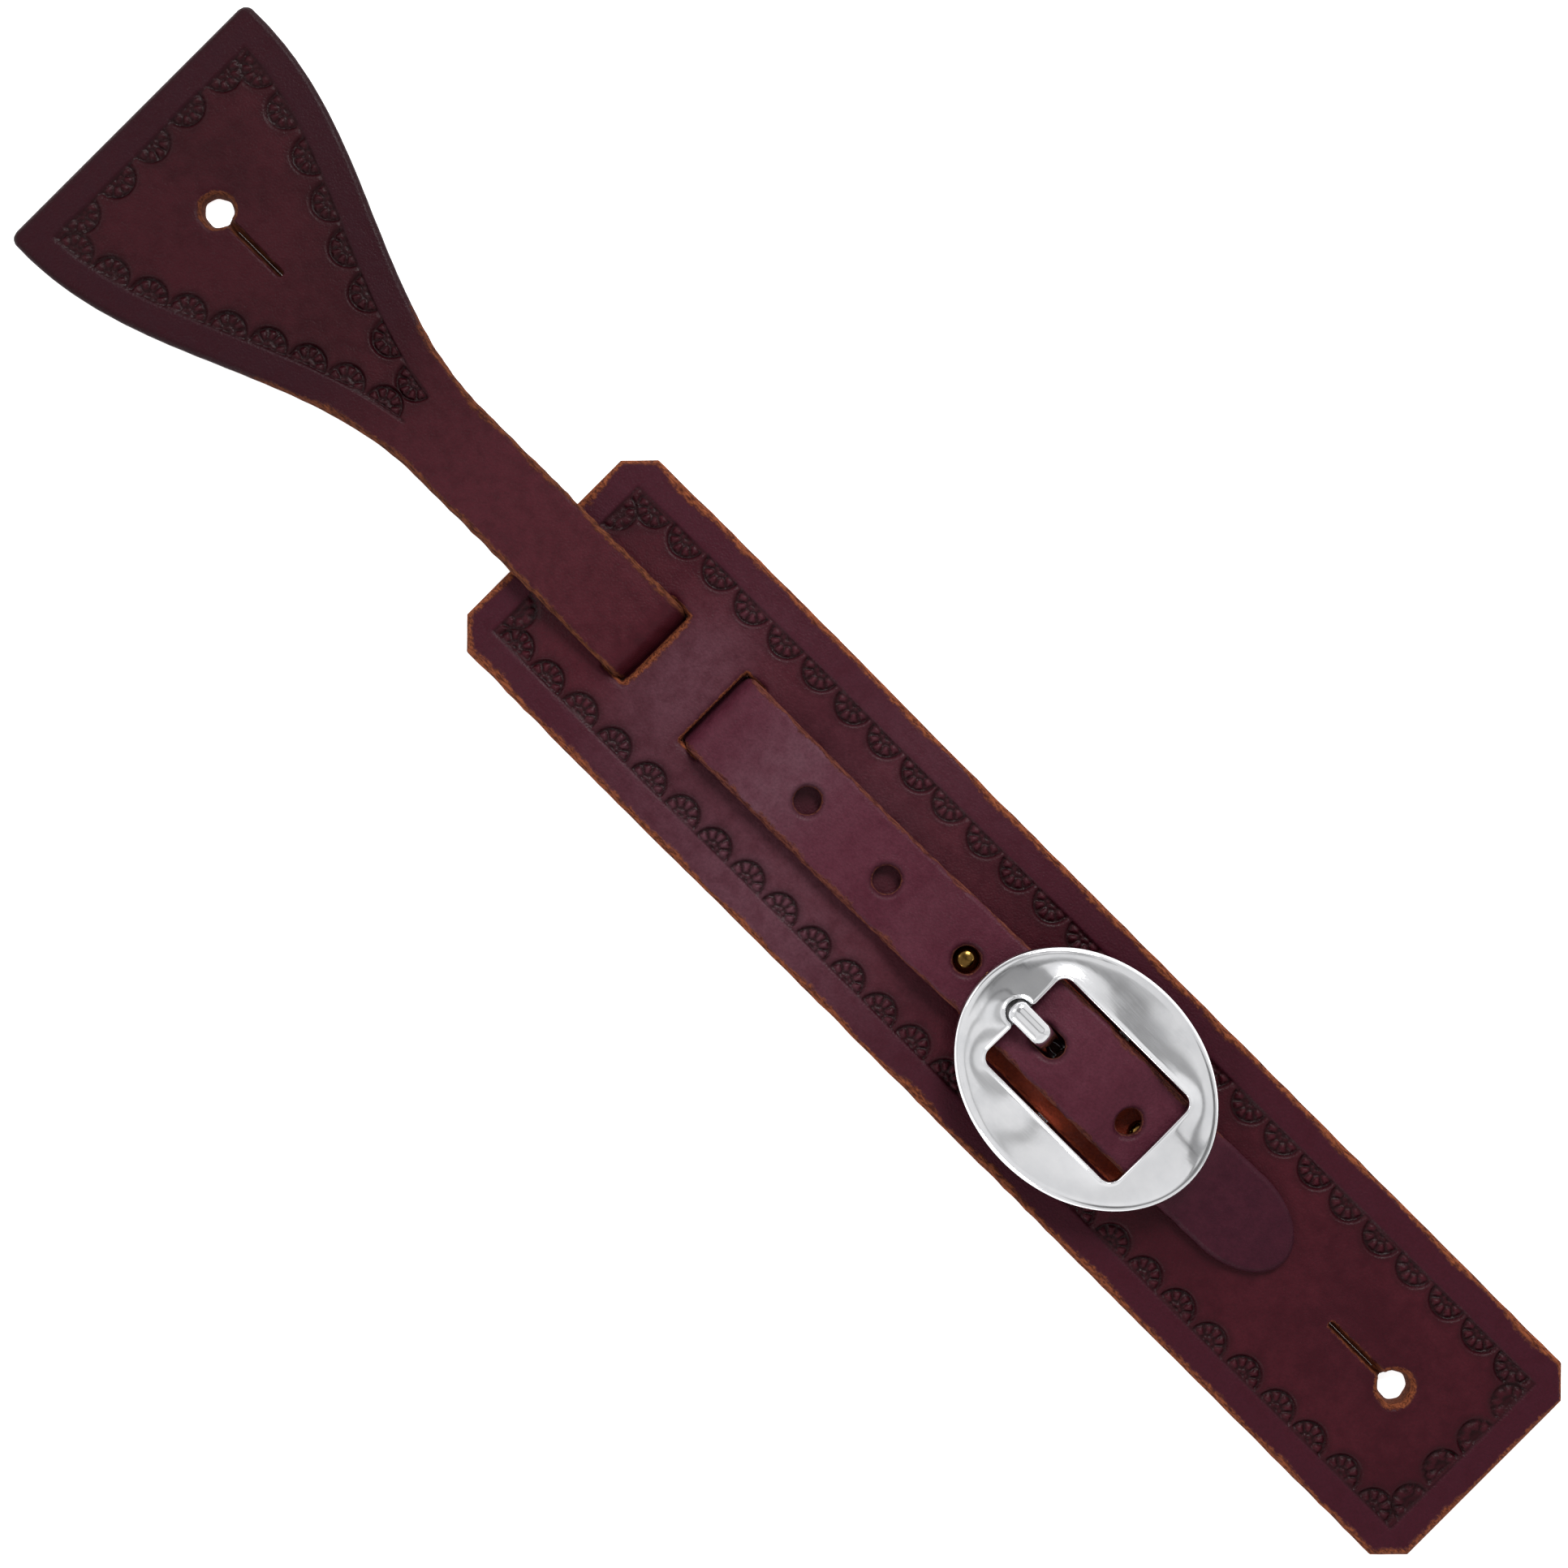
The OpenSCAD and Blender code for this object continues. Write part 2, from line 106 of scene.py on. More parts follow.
# %% Name the other sizes
panel_t, strap_t, tip_t, strip_t = 3.6, 3.0, 1.8, 1.8
panel_clip, tab_corner, flare_len = 5.0, 2.0, 82.0
lace_set, lace_bridge = 30.0, 15.0
hole_pitch, hole_d = 21.0, 5.4
button_d, button_set, slit_len, slit_w = 6.6, 24.0, 17.0, 1.6
lay_gap = 0.3
dome_d, dome_h, shank_d, burr_d, burr_t = 5.0, 2.0, 2.6, 8.0, 0.9
frame_len, frame_w, window_len, window_w, window_r = 54.0, 43.5, 33.6, 21.8, 2.2
frame_t, end_fall, side_fall = 2.2, 2.4, 4.0
lug_t, tongue_w, tongue_t = 3.0, 4.4, 2.4
eye_r = bar_d / 2 + 0.05 + 1.2
x_button_tab, x_button_tail = x_tab + button_set, x_end - button_set
x_hole = x_bar - 9.9
x_rivets = (x_hole - hole_pitch, x_bar + 15.2)


# %% [markdown]
# ## Side view of the leather
#
# The panel rises over the strap where the strap runs under it, and the strap dips through both slots in
# tight S-bends. The side view of each is a line that eases from one station to the next, with circular
# arcs for the bends, so that it follows the same path as the construction does.

# %% Easing between stations
def ease(u):
    """Smooth step: 3u^2 - 2u^3, held at 0 below 0 and at 1 above 1."""
    u = np.clip(u, 0.0, 1.0)
    return u * u * (3.0 - 2.0 * u)


def eased(x, stations):
    """Height at x on a line that eases from each station (place, height) to the next."""
    place, height = np.array(stations, float).T
    i = np.clip(np.searchsorted(place, x) - 1, 0, len(place) - 2)
    return height[i] + (height[i + 1] - height[i]) * ease((x - place[i]) / (place[i + 1] - place[i]))


# %% Heights that the stations use
mid = strap_t / 2
bend_in, bend_gap, bend_deg = 1.1, 0.12, 72.0
bend_r = bend_in + mid
bend_a = np.radians(bend_deg)
bridge_h = strap_t + lay_gap
over_z = bridge_h + panel_t + lay_gap
bend_straight = (over_z - 2 * bend_r * (1 - np.cos(bend_a))) / np.sin(bend_a)
bend_run = 2 * bend_r * np.sin(bend_a) + bend_straight * np.cos(bend_a)
slot_half = bend_run / 2 - np.sqrt((bend_in - bend_gap) ** 2 - (bend_in - lay_gap) ** 2)
slot_w = 2 * half_strap + 0.8
x_bridge = x_panel + lace_set
x_slots = (x_bridge - slot_half, x_bridge + lace_bridge + slot_half)
x_dip_1, x_dip_2 = x_slots[0] - bend_run / 2, x_slots[1] + bend_run / 2
rise_lead, panel_ramp = 0.6, 23.5
x_rise_2 = x_dip_2 + rise_lead
x_flat = x_rise_2 + panel_ramp
strip_crest = z_bar + bar_d / 2 + 0.15
strap_crest = strip_crest + strip_t + 0.2
strap_on_panel = panel_t + 0.1
strap_on_strip = panel_t + lay_gap + strip_t
strap_on_dome = strap_on_strip + dome_h
x_strip = (x_rivets[0] - 6.0, x_rivets[1] + 6.0)
x_tip_flat = x_rivets[1] + 17.0
print("slots at", np.round(x_slots, 1), "half length", round(float(slot_half), 2))

# %% Panel's underside and strap's middle line
panel_stations = [(x_panel, 0), (x_dip_1 - rise_lead, bridge_h), (x_rise_2, bridge_h), (x_flat, 0)]
tab_stations = [(x_tab + 69, 0), (x_dip_1, over_z)]
strap_stations = [
    (x_rise_2, over_z), (x_flat, strap_on_panel),
    (x_strip[0] - 10, strap_on_panel), (x_strip[0], strap_on_strip),
    (x_rivets[0] + hole_d / 2, strap_on_strip), (x_bar - 3.4, strap_crest), (x_bar + 3.4, strap_crest),
    (x_rivets[1] - dome_d / 2, strap_on_dome), (x_rivets[1] + dome_d / 2, strap_on_dome),
    (x_tip_flat, strap_on_panel)]


def strap_half_t(x):
    """Half the strap's thickness: it is skived evenly from behind the second rivet to the tip."""
    x_skive = x_rivets[1] + 5
    return (strap_t + (tip_t - strap_t) * np.clip((x - x_skive) / (x_tip - x_skive), 0, 1)) / 2


def dip(x):
    """A dip through a slot: an arc that turns down by bend_deg, a straight, and the same arc turning back.
    Arc: (start + r sin a, start height - r (1 - cos a)) for a from 0 to bend_deg."""
    a = np.linspace(0, bend_a, 24)
    down = np.stack([x - bend_run / 2 + bend_r * np.sin(a), over_z + mid - bend_r * (1 - np.cos(a))], 1)
    up = np.stack([x + bend_run / 2 - bend_r * np.sin(a), mid + bend_r * (1 - np.cos(a))], 1)[::-1]
    return np.concatenate([down, up])


def lay(stations, low, high, count):
    """Middle line over a run: the eased underside plus half the thickness."""
    x = np.linspace(low, high, count)
    return np.stack([x, eased(x, stations) + strap_half_t(x)], 1)


rise = dip(x_slots[1]) * [-1, 1] + [2 * x_slots[1], 0]
middle_line = np.concatenate([
    [[x_tab, mid]], lay(tab_stations, x_tab + 69, x_dip_1 - rise_lead, 90), dip(x_slots[0]),
    rise[::-1], lay(strap_stations, x_rise_2, x_tip_flat, 260),
    [[x_tip, strap_on_panel + strap_half_t(x_tip)]]])
middle_s = np.concatenate([[0], np.cumsum(np.linalg.norm(np.diff(middle_line, axis=0), axis=1))])
print("strap's length along its middle:", round(float(middle_s[-1]), 1), "mm")


# %% Places on the strap by the length along it
fine_s = np.arange(0, middle_s[-1], 0.2)
fine_line = np.stack([np.interp(fine_s, middle_s, middle_line[:, i]) for i in (0, 1)], 1)
for _ in range(6):
    fine_line[1:-1] = (fine_line[:-2] + 2 * fine_line[1:-1] + fine_line[2:]) / 4
fine_way = np.gradient(fine_line, axis=0)
fine_way /= np.linalg.norm(fine_way, axis=1)[:, None]


def strap_x(s):
    """Place along X of the strap's middle line at the length s."""
    return np.interp(s, fine_s, fine_line[:, 0])


def strap_s(x):
    """Length along the strap at which its middle line passes x."""
    return np.interp(x, fine_line[:, 0], fine_s)


def on_strap(s, y, h):
    """A point at length s, width y and height h over the strap's underside: middle + (h - t/2) * normal."""
    x, z = strap_x(s), np.interp(s, fine_s, fine_line[:, 1])
    dx, dz = np.interp(s, fine_s, fine_way[:, 0]), np.interp(s, fine_s, fine_way[:, 1])
    up = h - strap_half_t(x)
    return np.stack([x - dz * up, y, z + dx * up], -1)


def on_panel(s, y, h):
    """A point of the panel: straight up from the eased underside by h."""
    return np.stack([s, y, eased(s, panel_stations) + h], -1)


# %% [markdown]
# ## Mesh and noise helpers
#
# A mesh is filled with foreach_set from whole arrays, which is much faster than adding faces one by
# one. The noise is a sum of a few smooth random waves, seeded, so that each run gives the same leather.

# %% Fill a mesh from arrays
def new_piece(name, points_mm, faces, material, marks=None, flat=None):
    """A smooth-shaded object from points in millimetres and a list of face arrays (n x 3 or n x 4).
    Marks are numbers kept on its points, and flat is each point's place on the leather's flat pattern."""
    mesh = bpy.data.meshes.new(name)
    mesh.vertices.add(len(points_mm))
    mesh.vertices.foreach_set("co", (np.asarray(points_mm) * MM).astype(np.float32).ravel())
    sizes = np.concatenate([np.full(len(f), f.shape[1]) for f in faces])
    mesh.loops.add(int(sizes.sum()))
    mesh.loops.foreach_set("vertex_index", np.concatenate([f.ravel() for f in faces]).astype(np.int32))
    mesh.polygons.add(len(sizes))
    mesh.polygons.foreach_set("loop_start", (np.cumsum(sizes) - sizes).astype(np.int32))
    mesh.polygons.foreach_set("use_smooth", np.ones(len(sizes), bool))
    mesh.update(calc_edges=True)
    mesh.validate()
    for key, values in (marks or {}).items():
        mesh.attributes.new(key, "FLOAT", "POINT").data.foreach_set("value", values.astype(np.float32))
    if flat is not None:
        mesh.attributes.new("flat", "FLOAT_VECTOR", "POINT").data.foreach_set("vector", flat.astype(np.float32).ravel())
    mesh.materials.append(material)
    piece = bpy.data.objects.new(name, mesh)
    bpy.context.scene.collection.objects.link(piece)
    print(f"{name}: {len(points_mm)} points, {int((sizes - 2).sum())} triangles")
    return piece


def waves(s, y, seed, size, count=7):
    """Smooth noise in [-1, 1]: the mean of sine waves of random direction, length near size and phase."""
    rng = np.random.default_rng(seed)
    total = 0
    for turn, phase, stretch in rng.random((count, 3)):
        a, k = turn * np.pi, 2 * np.pi / (size * (0.7 + 0.8 * stretch))
        total = total + np.sin(k * (np.cos(a) * s + np.sin(a) * y) + 2 * np.pi * phase)
    return total / count ** 0.5 / 1.5


# %% [markdown]
# ## A sheet of leather with holes
#
# One function makes every leather piece. It starts from a grid over the flat pattern, drops the cells
# inside the holes, and moves the points left on each hole's edge onto the true outline, along the
# gradient of the distance to it. The upper face carries the tooling. Rings of points go round each cut
# edge and down to the flesh side, which is plain and is filled with a coarse triangulation.

# %% Distance helpers
def box_gap(s, y, centre, half_s, half_y, r):
    """Distance from a rounded rectangle at centre: |max(q, 0)| + min(max(q), 0) - r, q = |p| - half + r."""
    qs, qy = np.abs(s - centre) - half_s + r, np.abs(y) - half_y + r
    return np.hypot(np.maximum(qs, 0), np.maximum(qy, 0)) + np.minimum(np.maximum(qs, qy), 0) - r


def slit_line_gap(s, y, centre, way):
    """Distance from the slit's middle line, and the share of the way along it."""
    along = np.clip((s - centre) * way / (slit_len - 0.4), 0, 1)
    return np.hypot(s - centre - way * along * (slit_len - 0.4), y), along


def buttonhole_gap(s, y, centre, way):
    """Distance from a buttonhole: a slightly uneven round hole, and the thin foot of the knife's slit."""
    turn = np.arctan2(y, s - centre)
    ball = np.hypot(s - centre, y) - button_d / 2 + 0.1 * np.sin(3 * turn + 1) + 0.06 * np.sin(7 * turn)
    return np.minimum(ball, slit_line_gap(s, y, centre, way)[0] - 0.12)


def pulled_in(s, y, centre, way):
    """How far the walls below the face lean into the cut, for each wall ring: the slit closes, the hole tapers."""
    near = np.hypot(s - centre, y) < button_d / 2 + 1.5
    slit = (slit_line_gap(s, y, centre, way)[0] < 0.6) & ~near
    return [np.where(near, hole, np.where(slit, closed, 0.0))
            for hole, closed in ((0.25, 0.06), (0.45, 0.11), (0.6, 0.11), (1.0, 0.11))]


def opened_slit(s, y, centre, way, thickness):
    """Lift, painted shade and rawness of the slit: its walls lean out to a mouth that narrows along its length, and its
    depths are painted dark.
    Depth = 0.8 * thickness * (1 - d / mouth) ^ 0.5 at the distance d from the middle line."""
    gap, along = slit_line_gap(s, y, centre, way)
    mouth = slit_w / 2 * (1.25 - 0.4 * along) + 0.06 * np.sin(1.3 * s)
    depth = 0.85 * thickness * np.sqrt(np.clip(1 - gap / mouth, 0, 1))
    raw = np.clip(1.7 * (1 - gap / (mouth + 0.5)), 0, 1)
    return -depth, np.clip(depth / thickness * 1.3 - 0.45, 0, 0.75), raw * (1 - 0.45 * along)


def cut_mark(edge, width):
    """1 on a cut edge, fading to 0 at a distance of width."""
    return 1 - np.clip(edge / width, 0, 1)


def round_gap(s, y, centre, d, y_centre=0.0, stretch=0.0):
    """Distance from a round hole that may be drawn long by stretch along the strap."""
    ds = np.abs(s - centre) - stretch / 2
    return np.hypot(np.maximum(ds, 0), y - y_centre) - d / 2


def slope_of(gap, s, y, step=0.15):
    """Gradient of a distance by central differences, of unit length."""
    gs = gap(s + step, y) - gap(s - step, y)
    gy = gap(s, y + step) - gap(s, y - step)
    size = np.maximum(np.hypot(gs, gy), 1e-9)
    return gs / size, gy / size


def inside_loops(points, s1, y1, s2, y2):
    """Even-odd rule: a point is inside if a ray from it crosses the loops' edges an odd number of times."""
    kept = []
    for part in np.array_split(points, 12):
        s, y = part[:, :1], part[:, 1:]
        spans = (y1[None] > y) != (y2[None] > y)
        cross = s1 + (y - y1) * (s2 - s1) / np.where(y2 == y1, 1e-9, y2 - y1)
        kept.append((spans & (s < cross)).sum(1) % 2 == 1)
    return np.concatenate(kept)


# %% The sheet itself
BEVEL_W, BEVEL_H, FOOT = 1.1, 0.75, 0.45


def leather_sheet(name, s_line, v_line, sides, holes, outline, place, thick, relief, material, lean=None):
    """Leather over the flat pattern (s, y). sides(s) gives the lowest and highest y, holes and outline the
    distance to a cut edge, thick the thickness, and relief the lift, the burnish with painted shade, the bloom,
    the rawness, and the painted sheen with paler tone of the face.
    Face height = thickness + relief - bevel, where bevel = BEVEL_H * (1 - e)^2 over the last BEVEL_W."""
    ns, nv = len(s_line), len(v_line)
    s = np.repeat(s_line[:, None], nv, 1)
    low, high = sides(s)
    y = low + (high - low) * (v_line + 1) / 2
    number = np.arange(ns * nv).reshape(ns, nv)
    quads = np.stack([number[:-1, :-1], number[1:, :-1], number[1:, 1:], number[:-1, 1:]], -1).reshape(-1, 4)
    s, y = s.ravel(), y.ravel()
    kept = holes(s[quads].mean(1), y[quads].mean(1)) > 0
    rim = np.intersect1d(quads[kept], quads[~kept])
    quads = quads[kept]
    for _ in range(3):
        gs, gy = slope_of(holes, s[rim], y[rim])
        gap = holes(s[rim], y[rim])
        s[rim], y[rim] = s[rim] - gs * gap, y[rim] - gy * gap

    def cut(a, b):
        return np.minimum(holes(a, b), outline(a, b))

    edge = np.clip(cut(s, y), 0, None)
    bevel = BEVEL_H * (1 - np.clip(edge / BEVEL_W, 0, 1)) ** 2
    lift, burnish_and_shade, margin, raw, sheen_and_tone = relief(s, y, edge)
    face_h = np.maximum(thick(s) + lift - bevel, 0.3)
    points, flats = [place(s, y, face_h)], [np.stack([s, y, face_h], 1)]
    marks = [np.stack([raw, burnish_and_shade, margin, np.zeros(len(s)), sheen_and_tone])]

    # Each directed edge with no partner is a cut edge; the rings below it share its points' order
    start, stop = quads.ravel(), np.roll(quads, -1, 1).ravel()
    code, back = start * (ns * nv) + stop, stop * (ns * nv) + start
    open_edge = ~np.isin(code, back)
    a, b = start[open_edge], stop[open_edge]
    loop = np.unique(a)
    slot_of = np.full(ns * nv, -1)
    slot_of[loop] = np.arange(len(loop))
    ls, ly, lh = s[loop], y[loop], face_h[loop]
    gs, gy = slope_of(cut, ls, ly, 0.3)
    near = np.clip(1 - cut(ls, ly) / 0.8, 0, 1)
    gs, gy = gs * near, gy * near
    rings = [(0.0, 0.75), (0.0, 0.4), (0.05, 0.16), (FOOT, 0.0)]
    leans = lean(ls, ly) if lean else [0.0] * len(rings)
    faces, above, base = [quads], loop, ns * nv
    for (inset, share), in_by in zip(rings[:-1], leans):
        inset = inset - in_by
        ring = base + np.arange(len(loop))
        points.append(place(ls + gs * inset, ly + gy * inset, lh * share))
        flats.append(np.stack([ls, ly, lh * share], 1))
        marks.append(np.stack([raw[loop], burnish_and_shade[loop], margin[loop], np.full(len(loop), 0.5), sheen_and_tone[loop]]))
        ia, ib = slot_of[a], slot_of[b]
        faces.append(np.stack([above[ib], above[ia], ring[ia], ring[ib]], 1))
        above, base = ring, base + len(loop)

    # Flesh side: a coarse constrained triangulation inside the last ring
    inset = rings[-1][0] - leans[-1]
    foot_s, foot_y = ls + gs * inset, ly + gy * inset
    gs_, gy_ = np.meshgrid(np.arange(s_line[0], s_line[-1], 2.0), np.arange(-half_tab, half_tab, 2.2), indexing="ij")
    inner = cut(gs_, gy_) > 1.4
    lo_, hi_ = sides(gs_)
    inner &= (gy_ > lo_ + 1) & (gy_ < hi_ - 1)
    flat = np.concatenate([np.stack([foot_s, foot_y], 1), np.stack([gs_[inner], gy_[inner]], 1)])
    links = list(zip(slot_of[a].tolist(), slot_of[b].tolist()))
    out_v, _, out_f, origin, _, _ = delaunay_2d_cdt([tuple(p) for p in flat], links, [], 0, 1e-5)
    out_v = np.array([tuple(p) for p in out_v])
    tri = np.array([f for f in out_f if len(f) == 3])
    centre = out_v[tri].mean(1)
    tri = tri[inside_loops(centre, foot_s[slot_of[a]], foot_y[slot_of[a]], foot_s[slot_of[b]], foot_y[slot_of[b]])]
    turn = np.cross(out_v[tri[:, 1]] - out_v[tri[:, 0]], out_v[tri[:, 2]] - out_v[tri[:, 0]])
    tri = tri[np.abs(turn) > 1e-9]
    turn = turn[np.abs(turn) > 1e-9]
    tri[turn > 0] = tri[turn > 0][:, ::-1]
    found = {}
    for i, sources in enumerate(origin):
        for source in sources:
            found[source] = i
    foot = base + np.array([found[i] for i in range(len(loop))])
    points.append(place(out_v[:, 0], out_v[:, 1], np.zeros(len(out_v))))
    flats.append(np.column_stack([out_v, np.zeros(len(out_v))]))
    flesh = np.ones(len(out_v))
    marks.append(np.stack([0 * flesh, 0 * flesh, 0 * flesh, flesh, 0 * flesh]))
    ia, ib = slot_of[a], slot_of[b]
    faces.append(np.stack([above[ib], above[ia], foot[ia], foot[ib]], 1))
    faces.append(tri + base)
    marks = dict(zip(("raw", "burnish_and_shade", "margin", "flesh", "sheen_and_tone"), np.concatenate(marks, 1)))
    return new_piece(name, np.concatenate(points), faces, material, marks, np.concatenate(flats))


# %% [markdown]
# ## Tooling
#
# A swivel knife cuts a line along the border, a beveller presses it open, and a half-round stamp is
# struck against it, one print beside the next. Each print is a bowl with a half flower in it: five
# petals in a ring, and three small seeds round the middle of the flat side. No two strikes are alike, so
# every print is turned, moved and deepened a little by a seeded choice.

# %% One print of the half-flower stamp
STAMP_HALF, STAMP_DEEP = 4.25, 4.5


def flower_print(u, w):
    """Height and darkness of one print, u along its flat side and w away from it.
    With e the elliptical radius: bowl = -0.9 inside e = 1. A petal at angle a_k is a rounded wedge,
    1 - (across / (0.27 r))^2, faded at both ends, 0.75 high; the seeds are small round bumps."""
    e = np.hypot(u / STAMP_HALF, w / STAMP_DEEP)
    inside = (e < 1.4) & (w > -0.6)
    wall = ease((1 - e) / 0.15) * np.clip(w / 0.35 + 0.2, 0, 1)
    r = 4.0 * e
    turn = np.arctan2(w / STAMP_DEEP, u / STAMP_HALF)
    petals = 0
    for k in range(5):
        off = turn - np.radians(18 + 36 * k)
        across = r * np.sin(off)
        wedge = np.clip(1 - (across / np.maximum(0.255 * r, 0.1)) ** 2, 0, 1) ** 0.7
        ends = ease((r - 1.35) / 0.6) * ease((3.3 - r) / 0.35)
        cleft = np.exp(-(across / 0.24) ** 2) * ease((r - 2.6) / 0.4)
        petals = petals + np.where(np.abs(off) < 0.32, wedge * ends * (1 - 0.45 * cleft), 0)
    seeds = 0
    for k in range(3):
        a = np.radians(36 + 54 * k)
        ds, dw = r * np.cos(turn) - 0.95 * np.cos(a), r * np.sin(turn) - 0.95 * np.sin(a)
        seeds = seeds + np.exp(-(ds ** 2 + dw ** 2) / 0.13)
    raised = np.clip(petals + 0.7 * seeds, 0, 1) * wall
    swell = 0.16 * np.exp(-((e - 1.13) / 0.1) ** 2) * (w > 0.2)
    lift = -0.9 * wall + 0.75 * raised + swell
    # The print's darkness is partly burnish and partly painted shade: the bowl is darkened between the petals, and a
    # halo of painted shade lies just outside its rim.
    halo = 0.4 * np.clip(1 - (e - 1) / 0.28, 0, 1) * (w > 0)
    dark = np.maximum(np.clip(1.1 * wall - 1.15 * raised, 0, 1), halo * (1 - wall))
    return np.where(inside, lift, 0), np.where(inside, dark, 0), np.where(inside, wall, 0)


def tooling(s, y, prints, seed):
    """Sum of all prints over the pattern; prints holds a row (s, y, angle of its inward way) for each."""
    rng = np.random.default_rng(seed)
    lift, burnish_and_shade = np.zeros(len(s)), np.zeros(len(s))
    for ps, py, way in prints:
        shift_s, shift_y, swing, depth = rng.normal(0, 1, 4) * [0.16, 0.1, 0.03, 0.08]
        close = np.flatnonzero((np.abs(s - ps) < 6.5) & (np.abs(y - py) < 6.5))
        ds, dy = s[close] - ps - shift_s, y[close] - py - shift_y
        c, n = np.cos(way + swing), np.sin(way + swing)
        u, w = -ds * n + dy * c, ds * c + dy * n
        one_lift, one_burnish_and_shade, struck = flower_print(u, w)
        lift[close] = np.where(struck > 0.02, one_lift * (1 + depth), lift[close] + 0.5 * one_lift)
        burnish_and_shade[close] = np.maximum(burnish_and_shade[close], one_burnish_and_shade)
    return lift, burnish_and_shade


def knife_line(gap):
    """A cut opened by a beveller: a V 0.9 wide and 0.32 deep."""
    return -0.32 * np.clip(1 - np.abs(gap) / 0.5, 0, 1) ** 1.3


# %% [markdown]
# ## Panel
#
# On the real strap this is one 250 mm piece of thick latigo with clipped corners. It could be a box with
# the prints cut out of it, but the prints are soft-edged, so the whole face is one height surface. The
# panel bends across the line where its tail starts, but this piece is made in one pose and doesn't follow the bend.

# %% Panel outline, holes and relief
BORDER, BORDER_END = 6.4, 6.0


def panel_sides(s):
    """Half the width, less the 45 degree clip near either end, with a slightly uneven cut edge."""
    clip = np.clip(panel_clip - np.minimum(s - x_panel, x_end - s), 0, panel_clip)
    half = half_panel - clip
    return -half + 0.14 * np.abs(waves(s, 0, 1, 9)), half - 0.14 * np.abs(waves(s, 0, 2, 11))


def panel_outline(s, y):
    """Distance from the panel's outline, and from its clipped corners."""
    low, high = panel_sides(np.clip(s, x_panel + panel_clip, x_end - panel_clip))
    side, end = np.minimum(high - y, y - low), np.minimum(s - x_panel, x_end - s)
    return np.minimum(np.minimum(side, end), (side + end - panel_clip) / 2 ** 0.5)


def panel_holes(s, y):
    """Distance from the two lacing slots and the buttonhole."""
    slots = [box_gap(s, y, x, slot_half, half_strap + 0.02, 0.4) for x in x_slots]
    return np.minimum.reduce([*slots, buttonhole_gap(s, y, x_button_tail, -1)])


line_y = half_panel - BORDER
line_low, line_high = x_panel + BORDER_END, x_end - BORDER_END
row = np.linspace(line_low + 4.9, line_high - 4.9, 27)
across_end = np.array([-13.2, -4.4, 4.4, 13.2])
panel_prints = np.concatenate([
    np.stack([row, row * 0 + line_y, row * 0 - np.pi / 2], 1),
    np.stack([row, row * 0 - line_y, row * 0 + np.pi / 2], 1),
    np.stack([across_end * 0 + line_high, across_end, across_end * 0 + np.pi], 1),
    np.stack([[line_low] * 2, [-13.2, 13.2], [0.0] * 2], 1)])


def panel_relief(s, y, edge):
    """Knife line and prints of the border, slow waves of the hide, and the buttonhole's slit."""
    inner = np.minimum(line_y - np.abs(y), np.minimum(s - line_low, line_high - s))
    lift, burnish_and_shade = tooling(s, y, panel_prints, 3)
    lift = np.minimum(lift, knife_line(inner)) + 0.05 * waves(s, y, 4, 24) + 0.012 * waves(s, y, 5, 5)
    # The knife line's groove is darkened: partly burnish, partly painted shade.
    burnish_and_shade = np.maximum(burnish_and_shade, 0.8 * np.clip(1 - np.abs(inner) / 0.45, 0, 1))
    depth, dark, raw = opened_slit(s, y, x_button_tail, -1, panel_t)
    pressed = x_slots[0] + slot_half
    crescent = np.sqrt(np.clip(1 - (y / (slot_w / 2)) ** 2, 0, 1)) * (np.abs(s - pressed - 1.5) < 1.6)
    width = np.where(np.abs(s - x_bridge - lace_bridge / 2) < 14, 0.8 + 2.2 * crescent, 1.7)
    width = np.where(panel_outline(s, y) < 3, np.clip(2.5 + 1.0 * waves(s, y, 31, 16), 1.0, 3.6), width)
    raw = np.maximum(raw, cut_mark(edge, width))
    depth = depth - 0.9 * crescent * cut_mark(edge, 2.0)
    # Painted sheen: the leather is lightened and greyed where light gleams over the bridge, in a band beside the strap
    # on its -Y side, and faintly across the whole width around s = 6 mm.
    sheen_and_tone = 0.9 * np.exp(-((s - x_bridge - 8) / 9) ** 2 - (y / 16) ** 2)
    sheen_and_tone = sheen_and_tone + 0.75 * np.exp(-((s - 6) / 30) ** 2 - ((y + 20) / 11) ** 2) + 0.3 * np.exp(-((s - 6) / 26) ** 2)
    sheen_and_tone = np.clip(sheen_and_tone, 0, 1)
    return lift * np.clip(edge / 0.8, 0, 1) + depth, np.maximum(burnish_and_shade, dark), ease(-inner / 0.6 + 0.5), raw, sheen_and_tone


def panel_lean(s, y):
    """The walls of the buttonhole lean in, and so do the slots' side walls, which hug the strap's edges."""
    beside = (np.abs(np.abs(y) - half_strap) < 1.2) & np.logical_or.reduce([np.abs(s - x) < slot_half + 0.5 for x in x_slots])
    return [np.where(beside, hug, button)
            for hug, button in zip((0.2, 0.35, 0.4, 0.75), pulled_in(s, y, x_button_tail, -1))]


# %% Points across the panel, closer together at the border and at the holes
def spaced(runs):
    """Places from a list of (from, to, count), each run leaving out its last point but for the last run."""
    lines = [np.linspace(a, b, n, endpoint=False) for a, b, n in runs]
    return np.concatenate([*lines, [runs[-1][1]]])


